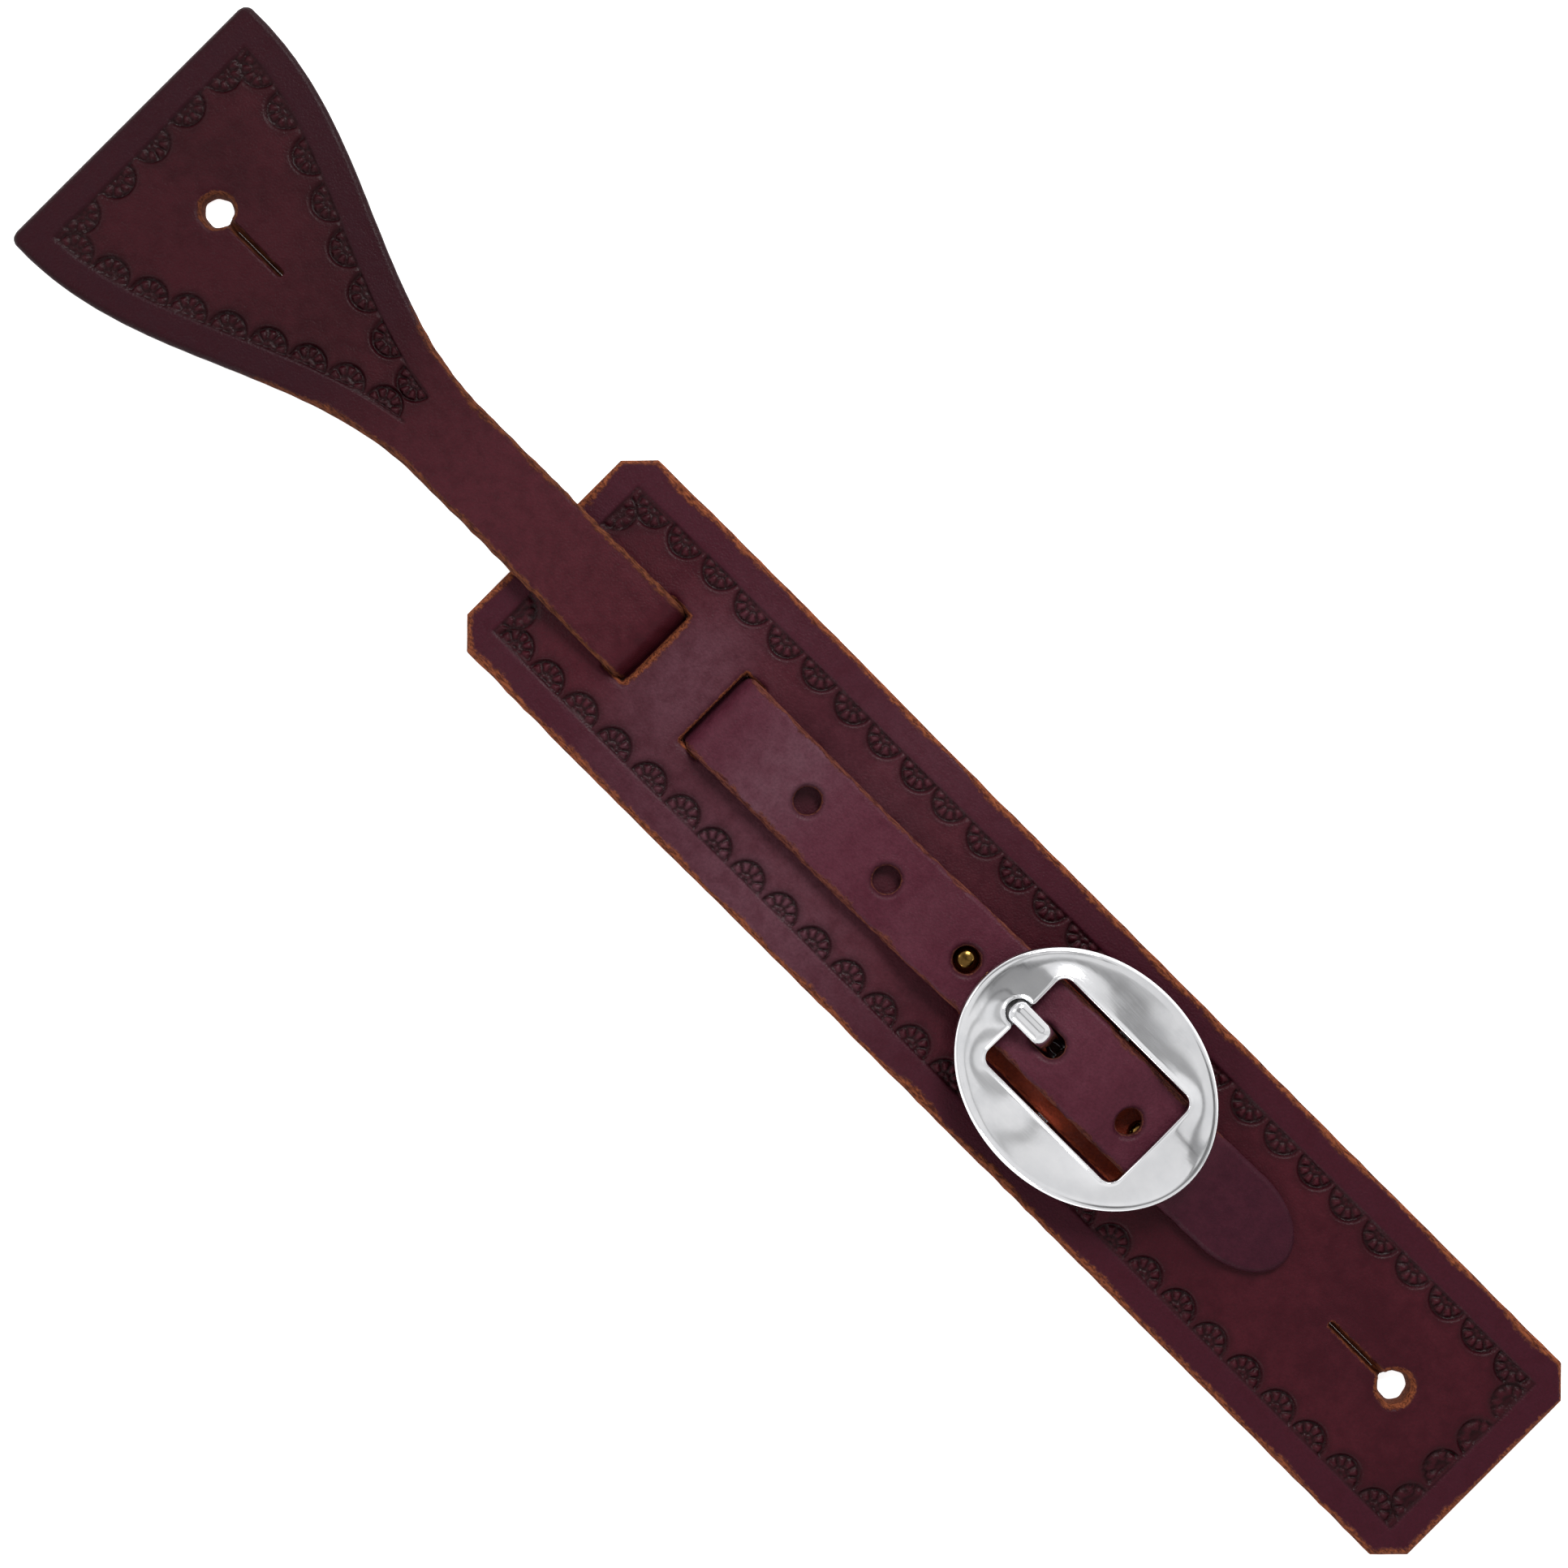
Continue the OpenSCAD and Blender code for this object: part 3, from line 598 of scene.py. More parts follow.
half_line = spaced([(0, 1.5, 7), (1.5, 7.8, 8), (7.8, 10.2, 5), (10.2, 14.3, 6), (14.3, 19.8, 19), (19.8, 23.7, 5),
                    (23.7, half_panel, 7)]) / half_panel
panel_v = np.concatenate([-half_line[:0:-1], half_line])
panel_s = spaced([(x_panel, x_panel + 1.2, 5), (x_panel + 1.2, x_end - 1.2, 730), (x_end - 1.2, x_end, 5)])
print("panel grid", len(panel_s), "x", len(panel_v))


# %% [markdown]
# ## Tab and strap
#
# The flared tab and its strap are one piece of leather, cut along half a cosine wave from 63 mm to
# 18 mm. Its looks are made as two pieces that meet under the bridge, where nobody sees the join. Both are
# fixed where they are made.

# %% Tab outline, holes and relief
x_meet = (x_slots[0] + x_slots[1]) / 2
s_meet = strap_s(x_meet)
tip_round = 14.0


def tab_half(x):
    """Half width: strap + (tab - strap) * (1 - cos(180 u)) / 2, u falling from 1 to 0 over the flare,
    with rounded corners at the tab's end."""
    u = np.clip((x_tab + 4 + flare_len - x) / flare_len, 0, 1)
    corner = tab_corner - np.clip(x - x_tab, 0, tab_corner)
    return (half_strap + (half_tab - half_strap) * (1 - np.cos(np.pi * u)) / 2
            - tab_corner + np.sqrt(tab_corner ** 2 - corner ** 2))


def drift(x):
    """The strap doesn't lie quite straight: past the slots it wanders to one side by up to 2 mm."""
    return 1.3 * ease((x - 8) / 62) + 0.7 * ease((x - 80) / 45)


def tab_sides(s):
    half = tab_half(strap_x(s))
    rough = (0.05 + 0.12 * ease((s - 40) / 50)) * ease((x_dip_1 - 1 - strap_x(s)) / 3)
    return -half + rough * np.abs(waves(s, 0, 11, 7)), half - rough * np.abs(waves(s, 0, 12, 6))


def tab_outline(s, y):
    """Distance from the tab's outline: the gap across, shortened by the outline's slope."""
    low, high = tab_sides(s)
    slope = np.gradient(tab_half(strap_x(np.arange(0, 200.0))))
    lean = np.hypot(1, np.interp(s, np.arange(0, 200.0), slope))
    return np.minimum(np.minimum(high - y, y - low) / lean, s + 0.0)


def tab_holes(s, y):
    return buttonhole_gap(s, y, button_set, 1)


tab_border, tab_border_end = 6.2, 5.8
outline_x = np.linspace(x_tab + 2, x_tab + 84, 400)
way = np.stack([np.gradient(outline_x), np.gradient(tab_half(outline_x))], 1)
way /= np.linalg.norm(way, axis=1)[:, None]
line = np.stack([outline_x + way[:, 1] * tab_border, tab_half(outline_x) - way[:, 0] * tab_border], 1)
way = way[line[:, 0] > x_tab + tab_border_end]
line = line[line[:, 0] > x_tab + tab_border_end]
run = np.concatenate([[0], np.cumsum(np.linalg.norm(np.diff(line, axis=0), axis=1))])


def along_line(at):
    """Rows (s, y, inward way) at the lengths at along the upper border line."""
    place = [np.interp(at, run, line[:, 0]) - x_tab, np.interp(at, run, line[:, 1])]
    return np.stack([*place, np.arctan2(-np.interp(at, run, way[:, 0]), np.interp(at, run, way[:, 1]))], 1)


side_row = along_line(np.linspace(5.0, 71.0, 8))
end_y = np.linspace(-line[0, 1] + 6.4, line[0, 1] - 6.4, 5)
tab_prints = np.concatenate([
    np.stack([np.full(5, tab_border_end), end_y, np.zeros(5)], 1), side_row,
    along_line(np.linspace(4.6, 70.0, 9)) * [1, -1, -1]])
print("side prints end at x", round(float(side_row[-1, 0] + x_tab), 1))


def tab_relief(s, y, edge):
    """Knife line and prints of the tab's border, slow waves of the hide, and the buttonhole's slit. The
    tab's outer edges are burnished dark, and the strap's are left raw."""
    outer = tab_outline(s, y)
    inner = np.minimum(outer - tab_border, s - tab_border_end)
    ends = np.clip((side_row[-1, 0] + 4.5 - s) / 1.0, 0, 1)
    lift, burnish_and_shade = tooling(s, y, tab_prints, 6)
    lift = np.minimum(lift, knife_line(inner) * ends) + 0.05 * waves(s, y, 7, 21) + 0.012 * waves(s, y, 8, 5)
    # The knife line's groove is darkened: partly burnish, partly painted shade.
    burnish_and_shade = np.maximum(burnish_and_shade, 0.8 * ends * np.clip(1 - np.abs(inner) / 0.45, 0, 1))
    depth, dark, raw = opened_slit(s, y, button_set, 1, strap_t)
    left_raw = np.where(outer < 3, ease((s - 44 - 6 * np.sign(y)) / 24), 1)
    raw_w = np.where(outer < 3, np.clip(2.3 + 1.0 * waves(s, y, 32, 14), 0.8, 3.4), 1.2)
    raw = np.maximum(raw, left_raw * cut_mark(edge, raw_w))
    # The slit's depths are painted shade; the tab's dark outer edges are real burnish.
    burnish_and_shade = np.maximum(np.maximum(burnish_and_shade, dark), 0.7 * (1 - left_raw) * cut_mark(edge, 1.6))
    bloom = ease(-inner / 0.6 + 0.5) * ease((side_row[-1, 0] + 8 - s) / 26)
    # The last value gives the neck the strap's own paler tone.
    return lift * np.clip(edge / 0.8, 0, 1) + depth, burnish_and_shade, bloom, raw, ease((s - 62) / 40)


# %% The billet: the strap past the slots
def billet_sides(s):
    x = strap_x(s)
    tip = np.clip((x - (x_tip - tip_round)) / tip_round, 0, 1)
    half = half_strap * np.sqrt(1 - 0.998 * tip ** 2)
    rough = 0.16 * (1 - tip) * ease((x - x_dip_2 - 1) / 3)
    centre = drift(x)
    return centre - half + rough * np.abs(waves(s, 0, 13, 5)), centre + half - rough * np.abs(waves(s, 0, 14, 6))


s_tip = fine_s[-1]


def billet_outline(s, y):
    """Distance from the strap's two edges and from the half ellipse of its tip."""
    x = strap_x(s)
    low, high = billet_sides(s)
    tip = np.clip((x - (x_tip - tip_round)) / tip_round, 0, 1)
    across = (y - drift(x)) / half_strap
    e = np.hypot(tip, across)
    steep = np.hypot(tip / tip_round, across / half_strap) / np.maximum(e, 1e-6)
    return np.where(tip > 0, (1 - e) / np.maximum(steep, 0.05), np.minimum(high - y, y - low))


strap_holes = [x_hole + hole_pitch] + [x_hole - k * hole_pitch for k in range(1, 9)]
strap_holes = [x for x in strap_holes if x > x_rise_2 + 12]
print("strap's free holes at x", np.round(strap_holes, 1))


def billet_holes(s, y):
    """Distance from the round holes, and from the tongue's hole, which its pull has drawn long."""
    gaps = [round_gap(s, y, strap_s(x), hole_d) for x in strap_holes]
    gaps.append(round_gap(s, y, strap_s(x_hole), tongue_w + 0.4, 0.0, 2.2))
    return np.minimum.reduce(gaps)


def billet_relief(s, y, edge):
    """Slow waves, fine creases across the bend out of the slot, and lips pressed up round the holes."""
    x, gap = strap_x(s), billet_holes(s, y)
    lip = 0.09 * np.exp(-((gap - 1.1) / 0.6) ** 2)
    crease = 0.035 * waves(s, 0.15 * y, 9, 2.2) * np.exp(-((x - x_dip_2 - 2) / 7) ** 2)
    lift = lip + crease + 0.05 * waves(s, y, 10, 16) + 0.015 * waves(s, y, 15, 4)
    worn = ease((x - x_rivets[1] - 4) / 14)
    width = np.where(gap < 1.8, 0.15, np.clip(1.5 + 1.4 * waves(s, y, 33, 11), 0.3, 3.0)) * (1 - 0.6 * worn)
    raw = cut_mark(edge, width) * (1 - 0.75 * worn)
    # Painted sheen lightens the strap where it slopes down past the second slot, and painted shade darkens the leather
    # round the holes.
    sheen_and_tone = np.exp(-((x - x_dip_2 - 13) / 9) ** 2)
    return lift * np.clip(edge / 0.8, 0, 1), 0.45 * np.exp(-(gap / 0.7) ** 2), worn, raw, sheen_and_tone


def strap_thick(s):
    return 2 * strap_half_t(strap_x(s))


# %% [markdown]
# ## Strip over the bar
#
# A strip of raw leather holds the buckle: it lies over the bar and is riveted down on both sides of it,
# with a slot for the tongue. It hardly shows, but its reddish cut edge fills the window beside the strap.

# %% Strip outline and place
strip_ends = (x_bar - 11.8, x_bar + 11.8)
strip_half, strip_end_half = window_w / 2 - 0.35, 7.0
strip_stations = [(x_bar - 11.8, panel_t), (x_bar - 1.5, strip_crest), (x_bar + 1.5, strip_crest),
                  (x_bar + 11.8, panel_t)]


def strip_sides(s):
    """Full width over the window and straight tapers to either end."""
    out = np.clip((np.abs(s - x_bar) - window_len / 2 - 1) / 10, 0, 1.3)
    half = strip_half + (strip_end_half - strip_half) * out
    return -half + 0.08 * np.abs(waves(s, 0, 16, 4)), half - 0.08 * np.abs(waves(s, 0, 17, 4))


def strip_outline(s, y):
    low, high = strip_sides(s)
    return np.minimum(np.minimum(high - y, y - low), np.minimum(s - x_strip[0], x_strip[1] - s))


def strip_holes(s, y):
    """Distance from the tongue's slot."""
    length = 9.9 + eye_r + 3.8
    return box_gap(s, y, x_bar + eye_r + 0.7 - length / 2, length / 2, tongue_w / 2 + 0.8, 0.8)


def strip_relief(s, y, edge):
    return 0.04 * waves(s, y, 18, 6), 0 * s, 0 * s, cut_mark(edge, 1.6), 0 * s


def on_strip(s, y, h):
    return np.stack([s, y, eased(s, strip_stations) + h], -1)


# %% [markdown]
# ## Buckle frame
#
# The oval cart buckle is cast, then polished until its face is like water. The face is a shallow dome with
# a bright lip round the window and a bead round the rim, and between them a slightly hollow band, which is
# what makes the reflections wander. It is lofted: for every point of the window's outline there is a ray
# to the rim, and the height along it is the dome plus a profile of the distances to window and rim.

# %% Window's outline, with the notch for the tongue
cradle_len, cradle_w, cradle_floor, notch_round = 3.4, tongue_w + 0.5, 0.8, 0.9
x_cradle = -(window_len + 2 * cradle_len - cradle_w) / 2


def arc(cx, cy, r, a, b, n):
    """n points of a circle from angle a to b in degrees."""
    t = np.radians(np.linspace(a, b, n))
    return np.stack([cx + r * np.cos(t), cy + r * np.sin(t)], 1)


def even(points, step):
    """Points at even steps along a closed outline."""
    closed = np.concatenate([points, points[:1]])
    d = np.concatenate([[0], np.cumsum(np.linalg.norm(np.diff(closed, axis=0), axis=1))])
    t = np.linspace(0, d[-1], int(d[-1] / step), endpoint=False)
    return np.stack([np.interp(t, d, closed[:, i]) for i in (0, 1)], 1)


wl, ww = window_len / 2 - window_r, window_w / 2 - window_r
upper = np.concatenate([
    [[window_len / 2, 0]], arc(wl, ww, window_r, 0, 90, 14), arc(-wl, ww, window_r, 90, 180, 14),
    arc(-window_len / 2 - notch_round, cradle_w / 2 + notch_round, notch_round, 0, -90, 9),
    arc(x_cradle, 0, cradle_w / 2, 90, 180, 20)])
outline = np.concatenate([upper, upper[-2:0:-1] * [1, -1]])
window = even(outline, 0.22)
rim = window / np.hypot(2 * window[:, 0] / frame_len, 2 * window[:, 1] / frame_w)[:, None]
print("window's outline:", len(window), "points")


# %% Face of the frame
def fall(x, y):
    """How far the face falls from its middle: by the squares of the shares of length and width."""
    return end_fall * (2 * x / frame_len) ** 2 + side_fall * (2 * y / frame_w) ** 2


strap_at_window = strap_t + max(eased(x_bar + side * window_len / 2, strap_stations) for side in (-1, 1))
face_z = float(strap_at_window) + 0.9 + frame_t + fall(window_len / 2, half_strap)


def dome(x, y):
    return face_z - fall(x, y)


def face_profile(d_in, d_out):
    """Lip, hollow and bead: a quarter round at each edge, a crest, and a hollow 0.28 deep between.
    crest(d) = exp(-(d / 0.95)^2) from either edge; profile = -0.28 (1 - crest_in - crest_out) - rounds."""
    crest = np.exp(-(d_in / 0.62) ** 4) + np.exp(-(d_out / 1.1) ** 4)
    rounds = 0.42 * np.clip(1 - d_in / 0.4, 0, 1) ** 2.2 + 0.75 * np.clip(1 - d_out / 0.7, 0, 1) ** 2.2
    band = np.sin(np.pi * np.clip(d_in / np.maximum(d_in + d_out, 1e-6), 0, 1))
    return -0.16 * np.clip(1 - crest, 0, 1) - 0.30 * band - rounds


def window_gap(x, y):
    """Distance from the window's edge over the metal: a = distance from the window, b = from the notch, and
    where both are under the corner's radius r it is r - |(r - a, r - b)|, the rounded corner."""
    a = box_gap(x, y, 0, window_len / 2, window_w / 2, window_r)
    along = np.clip(x, x_cradle, 0)
    b = np.hypot(x - along, y) - cradle_w / 2
    r = notch_round
    corner = r - np.hypot(np.maximum(r - a, 0), np.maximum(r - b, 0))
    return np.clip(np.where((a < r) & (b < r), corner, np.minimum(a, b)), 0, None)


# %% Closed shells from rings of points
def ring_quads(rows, cols, closed_rows):
    """Quads of a grid whose columns close on themselves, and whose rows may too."""
    number = np.arange(rows * cols).reshape(rows, cols)
    a = number if closed_rows else number[:-1]
    b = np.roll(number, -1, 0) if closed_rows else number[1:]
    return np.stack([a, np.roll(a, -1, 1), np.roll(b, -1, 1), b], -1).reshape(-1, 4)


def shell(rings, closed_rows=False):
    """A closed shell of rings (rows x cols x 3), with a middle point at either end unless the rows close.
    Its faces are turned outwards: the volume, the sum of a . (b x c) / 6 over its triangles, is positive."""
    rows, cols = rings.shape[:2]
    points, faces = rings.reshape(-1, 3), [ring_quads(rows, cols, closed_rows)]
    if not closed_rows:
        first = np.arange(cols)
        last = first + (rows - 1) * cols
        total = rows * cols
        faces.append(np.stack([np.full(cols, total), np.roll(first, -1), first], 1))
        faces.append(np.stack([np.full(cols, total + 1), last, np.roll(last, -1)], 1))
        points = np.concatenate([points, [rings[0].mean(0)], [rings[-1].mean(0)]])
    volume = 0
    for f in faces:
        for k in range(1, f.shape[1] - 1):
            volume += np.einsum("ij,ij->", points[f[:, 0]], np.cross(points[f[:, k]], points[f[:, k + 1]]))
    return points, faces if volume > 0 else [f[:, ::-1] for f in faces]


def joined(shells):
    """Several shells as the points and faces of one piece."""
    points, faces, base = [], [], 0
    for shell_points, shell_faces in shells:
        points.append(shell_points)
        faces += [f + base for f in shell_faces]
        base += len(shell_points)
    return np.concatenate(points), faces


# %% The frame's metal, its cradle and its lugs
share = np.array([0, .008, .02, .034, .05, .07, .09, .115, .145, .18, .22, .27, .32, .38, .44, .5, .56, .62, .68,
                  .73, .78, .82, .855, .885, .91, .93, .948, .963, .976, .987, .995, 1])
spot = window[None] + (rim - window)[None] * share[:, None, None]
d_in = window_gap(spot[..., 0], spot[..., 1])
d_out = np.linalg.norm(rim - window, axis=1)[None] * (1 - share[:, None])
polish = 0.05 * waves(spot[..., 0], spot[..., 1], 21, 19) + 0.008 * waves(spot[..., 0], spot[..., 1], 22, 8)
face = dome(spot[..., 0], spot[..., 1]) + face_profile(d_in, d_out) + polish * np.clip(d_in / 2, 0, 1) * np.clip(d_out / 2, 0, 1)
top = np.concatenate([spot, face[..., None]], -1)
under_share = np.array([1.0, 1.0, .985, .95, .7, .4, .12, .03, 0, 0])
under_depth = np.array([-1.2, -1.75, -2.08, -2.2, -2.2, -2.2, -2.2, -2.2, -2.0, -1.0])
under_spot = window[None] + (rim - window)[None] * under_share[:, None, None]
under = dome(under_spot[..., 0], under_spot[..., 1]) + under_depth[:, None]
frame_rings = np.concatenate([top, np.concatenate([under_spot, under[..., None]], -1)]) + [x_bar, 0, 0]

z_cradle = float(dome(x_cradle, 0)) - frame_t + cradle_floor
grown = cradle_w / 2 + 0.4
floor_edge = np.concatenate([[[-window_len / 2 - 0.1, -grown], [-window_len / 2 - 0.1, 0], [-window_len / 2 - 0.1, grown]],
                             arc(x_cradle, 0, grown, 90, 270, 30)])
floor_rings = []
for size, low in ((0.9, 0), (1, 0.08), (1, 0.7), (0.9, 0.78)):
    at_xy = floor_edge * size + (1 - size) * np.array([x_cradle, 0])
    floor_rings.append(np.column_stack([at_xy + [x_bar, 0], np.full(len(at_xy), z_cradle - 0.0) - low]))


def lug(y):
    """An upright tongue of metal with a round lower end, its edges eased by 0.3 mm."""
    side = np.concatenate([[[eye_r, dome(0, abs(y)) - 1.2 - z_bar], [0, dome(0, abs(y)) - 1.2 - z_bar],
                            [-eye_r, dome(0, abs(y)) - 1.2 - z_bar]], arc(0, 0, eye_r, 180, 360, 40)])
    rows = [(0.9, -lug_t / 2), (1, -lug_t / 2 + 0.25), (1, lug_t / 2 - 0.25), (0.9, lug_t / 2)]
    return shell(np.array([np.column_stack([x_bar + side[:, 0] * k, np.full(len(side), y + w), z_bar + side[:, 1] * k])
                           for k, w in rows]))


lug_y = (window_w + lug_t) / 2
frame_shells = [shell(frame_rings, closed_rows=True), shell(np.array(floor_rings)), lug(-lug_y), lug(lug_y)]

# %% [markdown]
# ## Tongue, bar and rivets
#
# The tongue is bent from a bar of steel: an eye round the bar, a slim shank that comes up through the
# strap's hole, and a round, flattened tip that rests in the cradle. It is an ellipse carried along its
# middle line. The bar and the rivets are turned shapes.

# %% Tongue
tongue_len = window_len / 2 + cradle_len - 0.6
tip_h = z_cradle + 0.1 + tongue_t / 2 - z_bar
tx = -np.concatenate([np.linspace(bar_d / 2 + 0.4, tongue_len - 1.6, 70), tongue_len - 1.6 + 1.6 * np.sin(np.linspace(0.1, 1.52, 14))])
tz = eased(tx, [(-12.6, tip_h), (-6.2, 0)])
nose = np.sqrt(np.clip(1 - np.clip((-tx - tongue_len + 1.6) / 1.6, 0, 0.9995) ** 2, 0, 1))
width = eased(tx, [(-tongue_len + 1.6, 1.0), (-12.5, 1.0), (-7.5, 0.80), (-1.5, 0.84)]) * nose
lead = np.gradient(np.stack([tx, tz], 1), axis=0)
lead /= np.linalg.norm(lead, axis=1)[:, None]
q = np.linspace(0, 2 * np.pi, 40, endpoint=False)
flat_t = width[:, None] * tongue_t / 2 * np.sin(q)
tongue_rings = np.stack([x_bar + tx[:, None] - flat_t * lead[:, 1:], width[:, None] * tongue_w / 2 * np.cos(q),
                         z_bar + tz[:, None] + flat_t * lead[:, :1]], -1)


def turned_about(profile, centre, axis, count=64):
    """A profile of (radius, height) rows turned about an axis, "z" or "y", through centre."""
    a = np.linspace(0, 2 * np.pi, count, endpoint=False)
    r, h = np.array(profile, float).T
    c, s, h = r[:, None] * np.cos(a), r[:, None] * np.sin(a), np.repeat(h[:, None], count, 1)
    return np.stack([c, s, h] if axis == "z" else [c, h, s], -1) + centre


inner = bar_d / 2 + 0.05
eye_profile = [(inner, -1.9), (inner + 0.25, -2.2), (eye_r - 0.3, -2.2), (eye_r - 0.08, -2.1), (eye_r, -1.85),
               (eye_r, 1.85), (eye_r - 0.08, 2.1), (eye_r - 0.3, 2.2), (inner + 0.25, 2.2), (inner, 1.9)]
tongue_shells = [shell(tongue_rings), shell(turned_about(eye_profile, [x_bar, 0, z_bar], "y"), closed_rows=True)]
half_bar = window_w / 2 + lug_t
bar_profile = [(bar_d / 2 - 0.3, -half_bar), (bar_d / 2, -half_bar + 0.3), (bar_d / 2, half_bar - 0.3),
               (bar_d / 2 - 0.3, half_bar)]

# %% Rivet domes and burrs
cap = np.linspace(0.0, 1.0, 16)
dome_profile = np.column_stack([dome_d / 2 * np.sin(cap * np.pi / 2), dome_h * (0.12 + 0.88 * np.cos(cap * np.pi / 2) ** 0.9)])
dome_profile = np.concatenate([dome_profile[1:], [[dome_d / 2 - 0.15, 0], [shank_d / 2, 0], [shank_d / 2, 0.1 - panel_t - strip_t],
                               [0.9, -panel_t - strip_t - 0.0]]])
burr_profile = [(shank_d / 2, 0), (shank_d / 2 + 0.2, -0.08), (burr_d / 2 - 0.4, 0.0), (burr_d / 2, 0.25),
                (burr_d / 2, burr_t), (shank_d / 2, burr_t)]
seat = panel_t + strip_t
rivet_shells = [shell(turned_about(dome_profile, [x, 0, seat], "z")) for x in x_rivets]
burr_shells = [shell(turned_about(burr_profile, [x, 0, 0.1], "z"), closed_rows=True) for x in x_rivets]

# %% [markdown]
# ## Finishes
#
# Latigo is leather that is tanned and then stuffed with wax and oil. Its burgundy dye takes unevenly, so
# the colour is a mix of slow and fine noise. Tooling burnishes it dark, and painted shade darkens the
# tooled bowls, knife lines, slits and hole rims further; the border outside the knife line keeps a purplish
# bloom; painted sheen lightens the leather over the bridge, beside the strap and past the second slot; and
# a cut edge is rough and orange-brown where the dye hasn't gone in. The marks that the sheet function wrote
# on each point say where each of these is.

# %% Node helper
def node(tree, kind, props=None, **sockets):
    """A shader node with its properties set and its sockets filled or linked by name (_0 is input 0)."""
    made = tree.nodes.new("ShaderNode" + kind)
    for key, value in (props or {}).items():
        setattr(made, key, value)
    for key, value in sockets.items():
        socket = made.inputs[int(key[1:])] if key[1:].isdigit() else made.inputs[key.replace("_", " ")]
        if isinstance(value, bpy.types.NodeSocket):
            tree.links.new(value, socket)
        else:
            socket.default_value = value
    return made


def finish(name):
    """An empty material: its tree and its main shader."""
    material = bpy.data.materials.new(name)
    material.use_nodes = True
    tree = material.node_tree
    shader = tree.nodes["Principled BSDF"]
    return material, tree, shader


def noise(tree, where, scale, detail=3.0, rough=0.55, stretch=(1, 1, 1)):
    """Noise in [0, 1] read at a place; scale is in waves per unit of the place."""
    turned_to = node(tree, "Mapping", Vector=where, Scale=stretch).outputs[0]
    return node(tree, "TexNoise", Vector=turned_to, Scale=scale, Detail=detail, Roughness=rough).outputs["Fac"]


def ramp(tree, value, low, high, to_low=0.0, to_high=1.0):
    """A value mapped smoothly from [low, high] to [to_low, to_high]."""
    return node(tree, "MapRange", {"interpolation_type": "SMOOTHSTEP"}, Value=value, From_Min=low, From_Max=high,
                To_Min=to_low, To_Max=to_high).outputs[0]


def blend_colour(tree, share, one, other):
    """The first colour where share is 0, and the other where it is 1."""
    return node(tree, "Mix", {"data_type": "RGBA"}, _0=share, _6=one, _7=other).outputs[2]


def maths(tree, operation, a, b=0.0):
    return node(tree, "Math", {"operation": operation}, _0=a, _1=b).outputs[0]


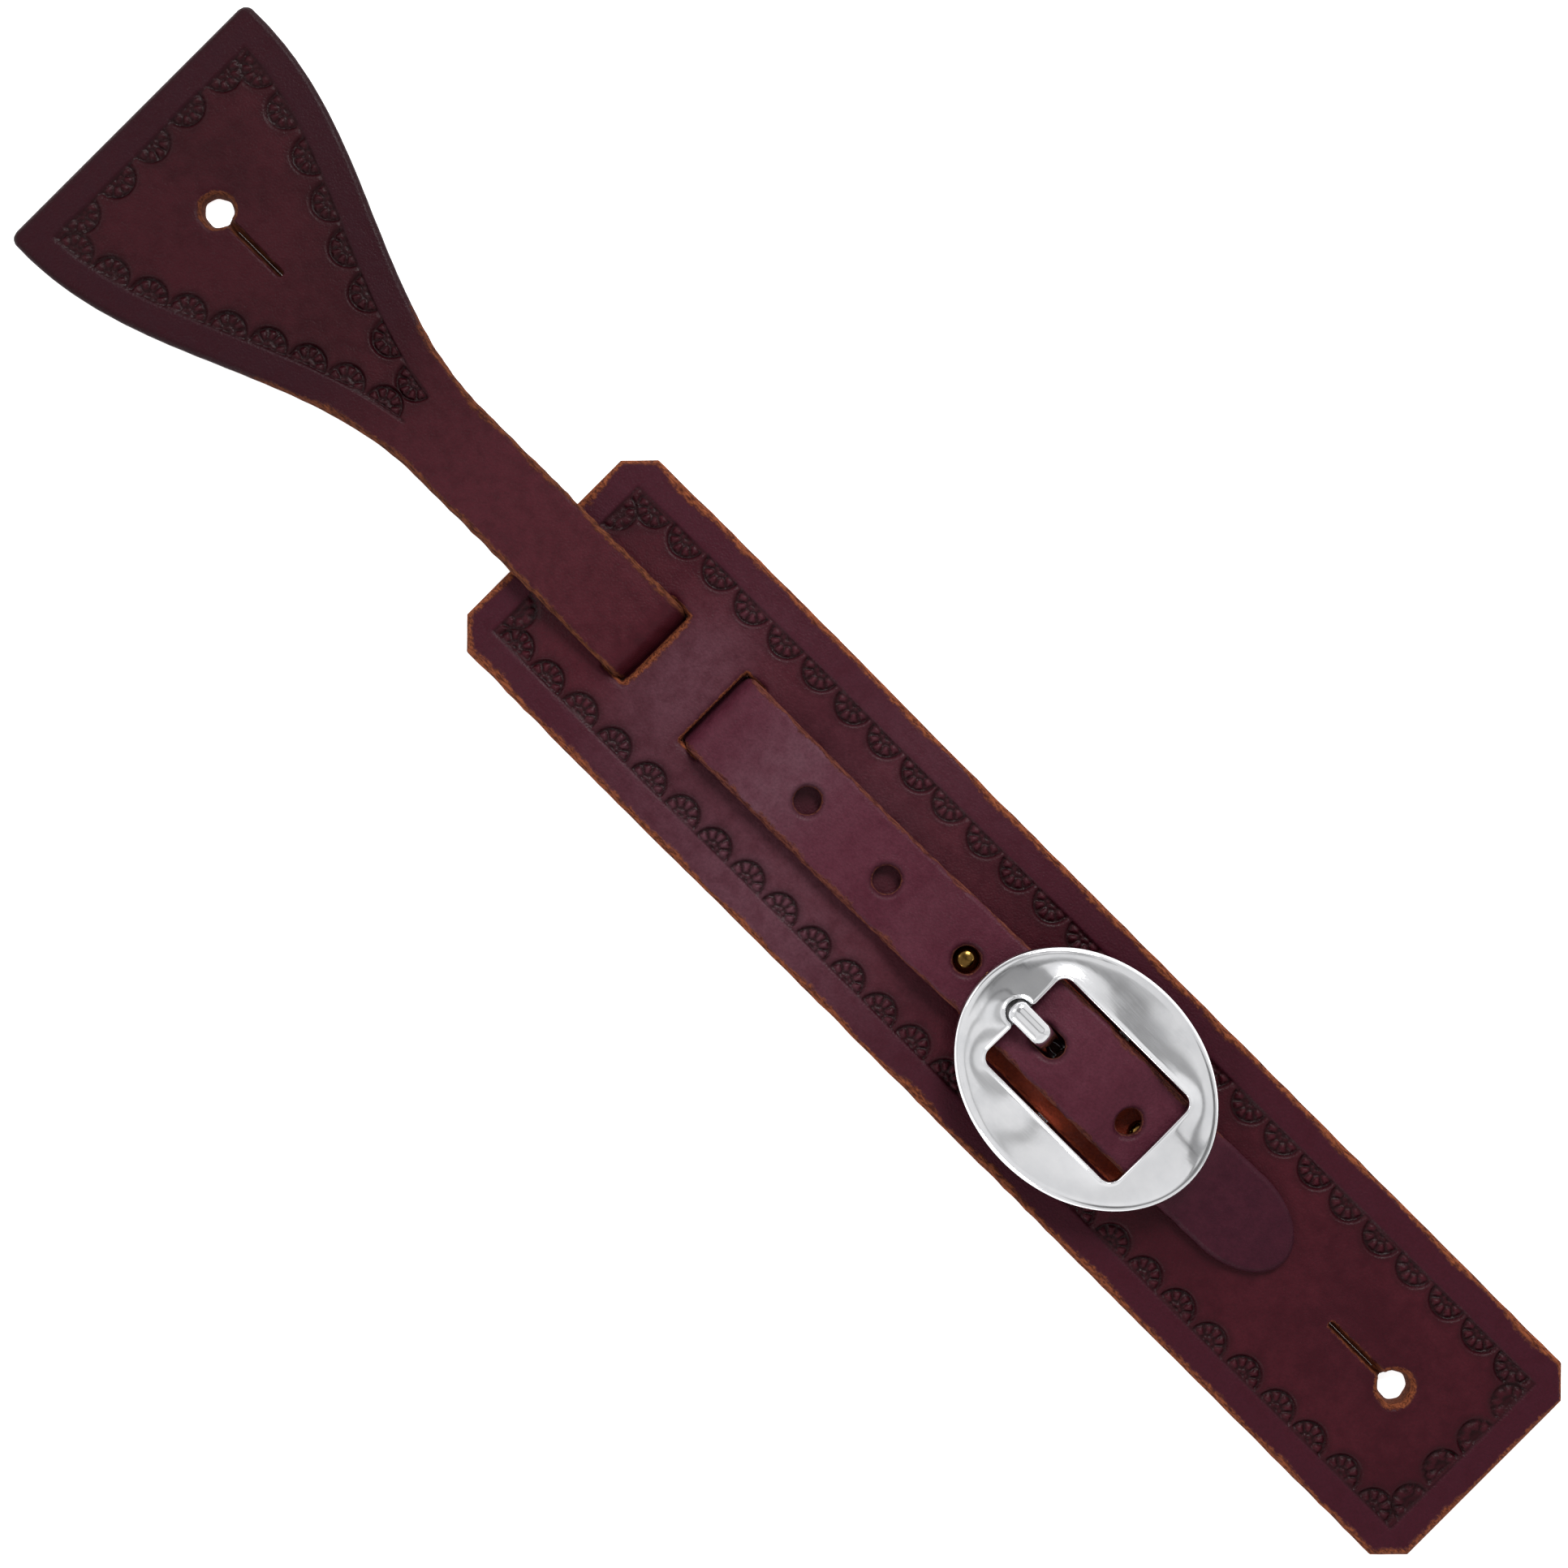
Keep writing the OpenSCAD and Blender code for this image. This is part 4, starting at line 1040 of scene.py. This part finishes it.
# %% Latigo
def latigo(name, deep, warm, bloom, sheen_and_tone_colour, edge):
    """Burgundy latigo: a tone from deep to warm, lightened by a painted sheen (and, on the tab, a paler tone
    along the neck), darkened by burnish and painted shade, with a bloom outside the border and raw cut edges
    (dark and bright fibre colour, and how ragged the edge of the rawness is)."""
    material, tree, shader = finish(name)

    def mark(key, output="Fac"):
        return node(tree, "Attribute", {"attribute_name": key}).outputs[output]

    flat = mark("flat", "Vector")
    slow, middle = noise(tree, flat, 0.045, 3.0), noise(tree, flat, 0.4, 4.0)
    fine, pebble = noise(tree, flat, 1.7, 5.0, 0.6), noise(tree, flat, 2.6, 2.0, 0.5)
    tone = maths(tree, "ADD", maths(tree, "MULTIPLY", slow, 0.65), maths(tree, "MULTIPLY", middle, 0.35))
    colour = blend_colour(tree, ramp(tree, tone, 0.36, 0.64), deep, warm)
    colour = blend_colour(tree, maths(tree, "MULTIPLY", mark("margin"), ramp(tree, middle, 0.2, 0.7, 0.6, 1.0)), colour, bloom)
    # Painted sheen: the colour is pulled toward a lighter, greyer colour where light gleams on the leather; on the tab
    # the same mark gives the neck its paler tone.
    sheen_and_tone_share = maths(tree, "MULTIPLY", mark("sheen_and_tone"), ramp(tree, middle, 0.25, 0.7, 0.55, 1.0))
    colour = blend_colour(tree, sheen_and_tone_share, colour, sheen_and_tone_colour)
    colour = blend_colour(tree, ramp(tree, fine, 0.35, 0.75, 0.0, 0.28), colour, (0.012, 0.003, 0.005, 1))
    # Burnish and painted shade: this mark darkens the tooled bowls, knife lines, slit depths and hole rims nearly to
    # black.
    burnish_and_shade = mark("burnish_and_shade")
    colour = blend_colour(tree, maths(tree, "MULTIPLY", burnish_and_shade, 0.94), colour, (0.011, 0.0009, 0.0018, 1))
    fibre = noise(tree, flat, 1.3, 6.0, 0.7, (0.5, 1.6, 2.5))
    edge_colour = blend_colour(tree, ramp(tree, fibre, 0.36, 0.62), edge[0], edge[1])
    wall = ramp(tree, mark("flesh"), 0.05, 0.45, 0.0, 0.6)
    edge_colour = blend_colour(tree, wall, edge_colour, (0.055, 0.013, 0.008, 1))
    ragged = maths(tree, "ADD", mark("raw"), maths(tree, "MULTIPLY", maths(tree, "SUBTRACT", noise(tree, flat, 0.9, 5.0, 0.7), 0.5), edge[2]))
    raw = ramp(tree, ragged, 0.42, 0.72)
    colour = blend_colour(tree, raw, colour, edge_colour)
    suede = blend_colour(tree, ramp(tree, fibre, 0.3, 0.7), (0.125, 0.045, 0.03, 1), (0.21, 0.088, 0.058, 1))
    under = ramp(tree, mark("flesh"), 0.6, 0.95)
    colour = blend_colour(tree, under, colour, suede)
    tree.links.new(colour, shader.inputs["Base Color"])
    rough = maths(tree, "ADD", ramp(tree, middle, 0.25, 0.75, 0.36, 0.5), maths(tree, "MULTIPLY", maths(tree, "MAXIMUM", raw, under), 0.4))
    tree.links.new(maths(tree, "SUBTRACT", rough, maths(tree, "MULTIPLY", burnish_and_shade, 0.1)), shader.inputs["Roughness"])
    shader.inputs["Specular IOR Level"].default_value = 0.12
    grain = maths(tree, "ADD", maths(tree, "MULTIPLY", pebble, 0.7), maths(tree, "MULTIPLY", middle, 0.5))
    furry = maths(tree, "MULTIPLY", maths(tree, "MULTIPLY", fibre, maths(tree, "MAXIMUM", raw, under)), 2.2)
    bump = node(tree, "Bump", Height=maths(tree, "ADD", grain, furry), Strength=0.5, Distance=0.00034)
    tree.links.new(bump.outputs[0], shader.inputs["Normal"])
    return material


panel_leather = latigo("latigo", (0.039, 0.0033, 0.0078, 1), (0.059, 0.0066, 0.0125, 1),
                       (0.048, 0.0060, 0.0138, 1), (0.110, 0.0380, 0.0540, 1),
                       ((0.060, 0.013, 0.007, 1), (0.29, 0.082, 0.033, 1), 0.9))
tab_leather = latigo("latigo tab", (0.025, 0.0017, 0.0042, 1), (0.038, 0.0036, 0.0074, 1),
                     (0.023, 0.0019, 0.0058, 1), (0.064, 0.0088, 0.0150, 1),
                     ((0.040, 0.010, 0.006, 1), (0.17, 0.050, 0.022, 1), 0.9))
strap_leather = latigo("latigo strap", (0.072, 0.0125, 0.0240, 1), (0.095, 0.0210, 0.0360, 1),
                       (0.037, 0.0052, 0.0130, 1), (0.125, 0.0480, 0.0660, 1),
                       ((0.050, 0.010, 0.010, 1), (0.16, 0.047, 0.030, 1), 1.0))
raw_leather = latigo("raw leather", (0.17, 0.020, 0.009, 1), (0.29, 0.042, 0.016, 1), (0.2, 0.05, 0.02, 1),
                     (0.2, 0.05, 0.02, 1), ((0.12, 0.016, 0.007, 1), (0.32, 0.052, 0.020, 1), 0.6))


# %% Metals
def polished(name, tint, dull, rough_low, rough_high, depth):
    """A metal polished by hand: fine cross-hatched scratches, cloudy patches of roughness, and painted shade,
    nearly black, where the shade mark is set (the cradle's floor under the tongue and the frame's underside)."""
    material, tree, shader = finish(name)
    place = node(tree, "TexCoord").outputs["Object"]
    cloud = noise(tree, place, 220, 4.0)
    hair = noise(tree, place, 900, 3.0, 0.6, (0.25, 4.0, 1.0))
    cross = noise(tree, place, 900, 3.0, 0.6, (4.0, 0.3, 1.0))
    colour = blend_colour(tree, ramp(tree, cloud, 0.3, 0.8), tint, dull)
    # Painted shade: the colour goes nearly black where this mark is set.
    grime = node(tree, "Attribute", {"attribute_name": "grime"}).outputs["Fac"]
    colour = blend_colour(tree, grime, colour, (0.025, 0.022, 0.022, 1))
    tree.links.new(colour, shader.inputs["Base Color"])
    shader.inputs["Metallic"].default_value = 1.0
    wear = maths(tree, "ADD", maths(tree, "MULTIPLY", cloud, 0.6), maths(tree, "MULTIPLY", hair, 0.4))
    tree.links.new(ramp(tree, wear, 0.3, 0.7, rough_low, rough_high), shader.inputs["Roughness"])
    height = maths(tree, "ADD", maths(tree, "MULTIPLY", hair, 0.5), maths(tree, "MULTIPLY", cross, 0.5))
    bump = node(tree, "Bump", Height=height, Strength=0.3, Distance=depth)
    tree.links.new(bump.outputs[0], shader.inputs["Normal"])
    return material


steel = polished("polished steel", (0.83, 0.83, 0.845, 1), (0.76, 0.765, 0.785, 1), 0.05, 0.13, 0.000006)
dull_steel = polished("plain steel", (0.62, 0.62, 0.63, 1), (0.45, 0.45, 0.46, 1), 0.18, 0.34, 0.00002)
brass = polished("brass", (0.21, 0.12, 0.032, 1), (0.09, 0.045, 0.012, 1), 0.10, 0.22, 0.00001)

# %% [markdown]
# ## Putting the pieces together
#
# Each piece is made in its place, and the frame pieces that it replaces are hidden. The strip, rivets,
# burrs, buckle, bar and tongue ride on their bodies; the leather pieces are fixed where they are made.

# %% Leather pieces
panel = leather_sheet("tooled_panel", panel_s, panel_v, panel_sides, panel_holes, panel_outline, on_panel,
                      lambda s: 0 * s + panel_t, panel_relief, panel_leather,
                      panel_lean)
half_v = spaced([(0, 0.045, 6), (0.045, 0.93, 64), (0.93, 1, 10)])
tab_v = np.concatenate([-half_v[:0:-1], half_v])
tab_s = spaced([(0, 1.4, 5), (1.4, 80, 230), (80, float(s_meet), 190)])
tab = leather_sheet("flared_tab_leather", tab_s, tab_v, tab_sides, tab_holes, tab_outline, on_strap,
                    strap_thick, tab_relief, tab_leather, lambda s, y: pulled_in(s, y, button_set, 1))
billet_v = np.sin(np.linspace(-1, 1, 57) * np.pi / 2 * 0.9) / np.sin(np.pi / 2 * 0.9)
near_tip = s_tip - 14 * (1 - np.sin(np.linspace(0, 1, 60) * np.pi / 2))
billet_s = np.concatenate([np.arange(s_meet, s_tip - 14, 0.36), near_tip])
billet = leather_sheet("strap_billet", billet_s, billet_v, billet_sides, billet_holes, billet_outline, on_strap,
                       strap_thick, billet_relief, strap_leather)
strip_s, strip_v = np.linspace(*x_strip, 170), np.linspace(-1, 1, 53)
strip = leather_sheet("bar_strip_leather", strip_s, strip_v, strip_sides, strip_holes, strip_outline, on_strip,
                      lambda s: 0 * s + strip_t, strip_relief, raw_leather)

# %% Metal pieces
floor_first = len(frame_shells[0][0])
# Painted shade on the buckle: the cradle's floor under the tongue (0.9) and the frame's underside (0.75) are darkened.
grime = np.zeros(sum(len(points) for points, _ in frame_shells))
grime[floor_first:floor_first + len(frame_shells[1][0])] = 0.9
grime[len(share) * len(window):floor_first] = 0.75
buckle = new_piece("oval_frame", *joined(frame_shells), steel, {"grime": grime})
tongue = new_piece("tongue", *joined(tongue_shells), steel)
bar = new_piece("bar", *shell(turned_about(bar_profile, [x_bar, 0, z_bar], "y")), dull_steel)
rivets = new_piece("rivet_domes", *joined(rivet_shells), brass)
burrs = new_piece("burrs", *joined(burr_shells), brass)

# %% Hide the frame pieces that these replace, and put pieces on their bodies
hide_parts("panel", "panel_tail")
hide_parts("flared_tab")
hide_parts("laced_strap", "strap_tip")
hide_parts("bar_strip")
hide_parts("buckle_frame")
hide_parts("buckle_tongue")
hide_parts("buckle_bar")
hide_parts("rivets")
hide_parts("rivet_burrs")


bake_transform(panel)
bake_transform(tab)
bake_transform(billet)
for piece, body in ((strip, "main"), (rivets, "main"), (burrs, "main"), (buckle, "buckle"), (bar, "buckle"),
                    (tongue, "tongue")):
    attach(piece, body)

# %% [markdown]
# ## Camera, floor and light
#
# The strap is seen from straight above, turned by 45 degrees. The floor is a plain white sheet. The light is
# a bright room with three large soft lamps, kept away from the zenith, so that the leather stays deep in
# colour and the buckle has something darker to reflect between the lamps.

# %% Camera
camera = bpy.data.objects.new("camera", bpy.data.cameras.new("camera"))
bpy.context.scene.collection.objects.link(camera)
camera.data.sensor_width, camera.data.lens = 36.0, 60.7
camera.location = (-0.0048, -0.0009, 0.5)
camera.rotation_euler = (0, 0, np.pi / 4)
camera.data.clip_start = 0.01
bpy.context.scene.camera = camera
bpy.context.scene.view_settings.view_transform = "Standard"

# %% Floor
white, tree, shader = finish("white sheet")
shader.inputs["Base Color"].default_value = (0.93, 0.93, 0.93, 1)
shader.inputs["Roughness"].default_value = 0.9
shader.inputs["Specular IOR Level"].default_value = 0.1
shader.inputs["Emission Color"].default_value = (1, 1, 1, 1)
shader.inputs["Emission Strength"].default_value = 0.75
sheet = bpy.data.meshes.new("floor")
sheet.from_pydata([(-2, -2, 0), (2, -2, 0), (2, 2, 0), (-2, 2, 0)], [], [(0, 1, 2, 3)])
sheet.materials.append(white)
floor = bpy.data.objects.new("floor", sheet)
bpy.context.scene.collection.objects.link(floor)
floor.location.z = -0.0003
floor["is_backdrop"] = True


# %% Lamps
def lamp(name, azimuth, elevation, distance, size, power):
    """A square soft lamp aimed at the middle: place = distance * (cos e cos a, cos e sin a, sin e)."""
    light = bpy.data.lights.new(name, "AREA")
    light.size, light.energy = size, power
    a, e = np.radians(azimuth), np.radians(elevation)
    thing = bpy.data.objects.new(name, light)
    thing.location = distance * np.array([np.cos(e) * np.cos(a), np.cos(e) * np.sin(a), np.sin(e)])
    thing.rotation_euler = (0, np.pi / 2 - e, a)
    bpy.context.scene.collection.objects.link(thing)


lamp("key", 112, 48, 1.1, 0.40, 8.4)
lamp("fill", 285, 34, 1.2, 0.30, 2.4)
lamp("end", 200, 42, 1.2, 0.30, 1.4)

# %% Room
room = bpy.data.worlds.new("room")
room.use_nodes = True
tree = room.node_tree
around = node(tree, "TexCoord").outputs["Generated"]
slow = noise(tree, around, 1.8, 1.0, 0.5)
parts = node(tree, "SeparateXYZ", Vector=around).outputs
sway = maths(tree, "MULTIPLY", maths(tree, "SUBTRACT", slow, 0.5), 0.16)
east, north = maths(tree, "ADD", parts[0], sway), maths(tree, "SUBTRACT", parts[1], sway)


def away_from(east_of, north_of):
    """Distance of a direction's flat part from a point of the sky: sqrt(e^2 + n^2)."""
    e, n = maths(tree, "SUBTRACT", east, east_of), maths(tree, "SUBTRACT", north, north_of)
    return maths(tree, "SQRT", maths(tree, "ADD", maths(tree, "MULTIPLY", e, e), maths(tree, "MULTIPLY", n, n)))


def band(where, centre, inner, outer):
    """1 in a band about centre, fading over inner on its low side and over outer on its high side."""
    off = maths(tree, "SUBTRACT", where, centre)
    return maths(tree, "MULTIPLY", ramp(tree, off, -inner, -inner * 0.15, 0.0, 1.0), ramp(tree, off, 0.0, outer, 1.0, 0.0))


def along(e, n):
    return maths(tree, "ADD", maths(tree, "MULTIPLY", east, e), maths(tree, "MULTIPLY", north, n))


level = maths(tree, "MULTIPLY", ramp(tree, slow, 0.35, 0.65, 0.80, 1.0), ramp(tree, away_from(0, 0), 0.02, 0.17, 0.22, 1.0))
dark_parts = (
    (ramp(tree, away_from(-0.28, 0.12), 0.20, 0.27, 1.0, 0.0), 0.40),
    (band(away_from(0.17, 0.30), 0.285, 0.09, 0.02), 0.40),
    (maths(tree, "MULTIPLY", band(along(-0.21, 0.98), 0.085, 0.03, 0.02), ramp(tree, east, 0.0, 0.1)), 0.35),
    (band(along(0.8, 0.6), -0.34, 0.12, 0.03), 0.55), (band(along(0.8, 0.6), -0.20, 0.05, 0.02), 0.62))
for part, deep in dark_parts:
    level = maths(tree, "MULTIPLY", level, ramp(tree, part, 0.0, 1.0, 1.0, deep))
seen_in_gloss = node(tree, "LightPath").outputs["Is Glossy Ray"]
level = maths(tree, "MULTIPLY", level, ramp(tree, seen_in_gloss, 0.0, 1.0, 0.52, 1.0))
tree.nodes["Background"].inputs["Color"].default_value = (1, 1, 1, 1)
tree.links.new(level, tree.nodes["Background"].inputs["Strength"])
bpy.context.scene.world = room

# %% Find the bounds of the shown pieces
low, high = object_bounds()
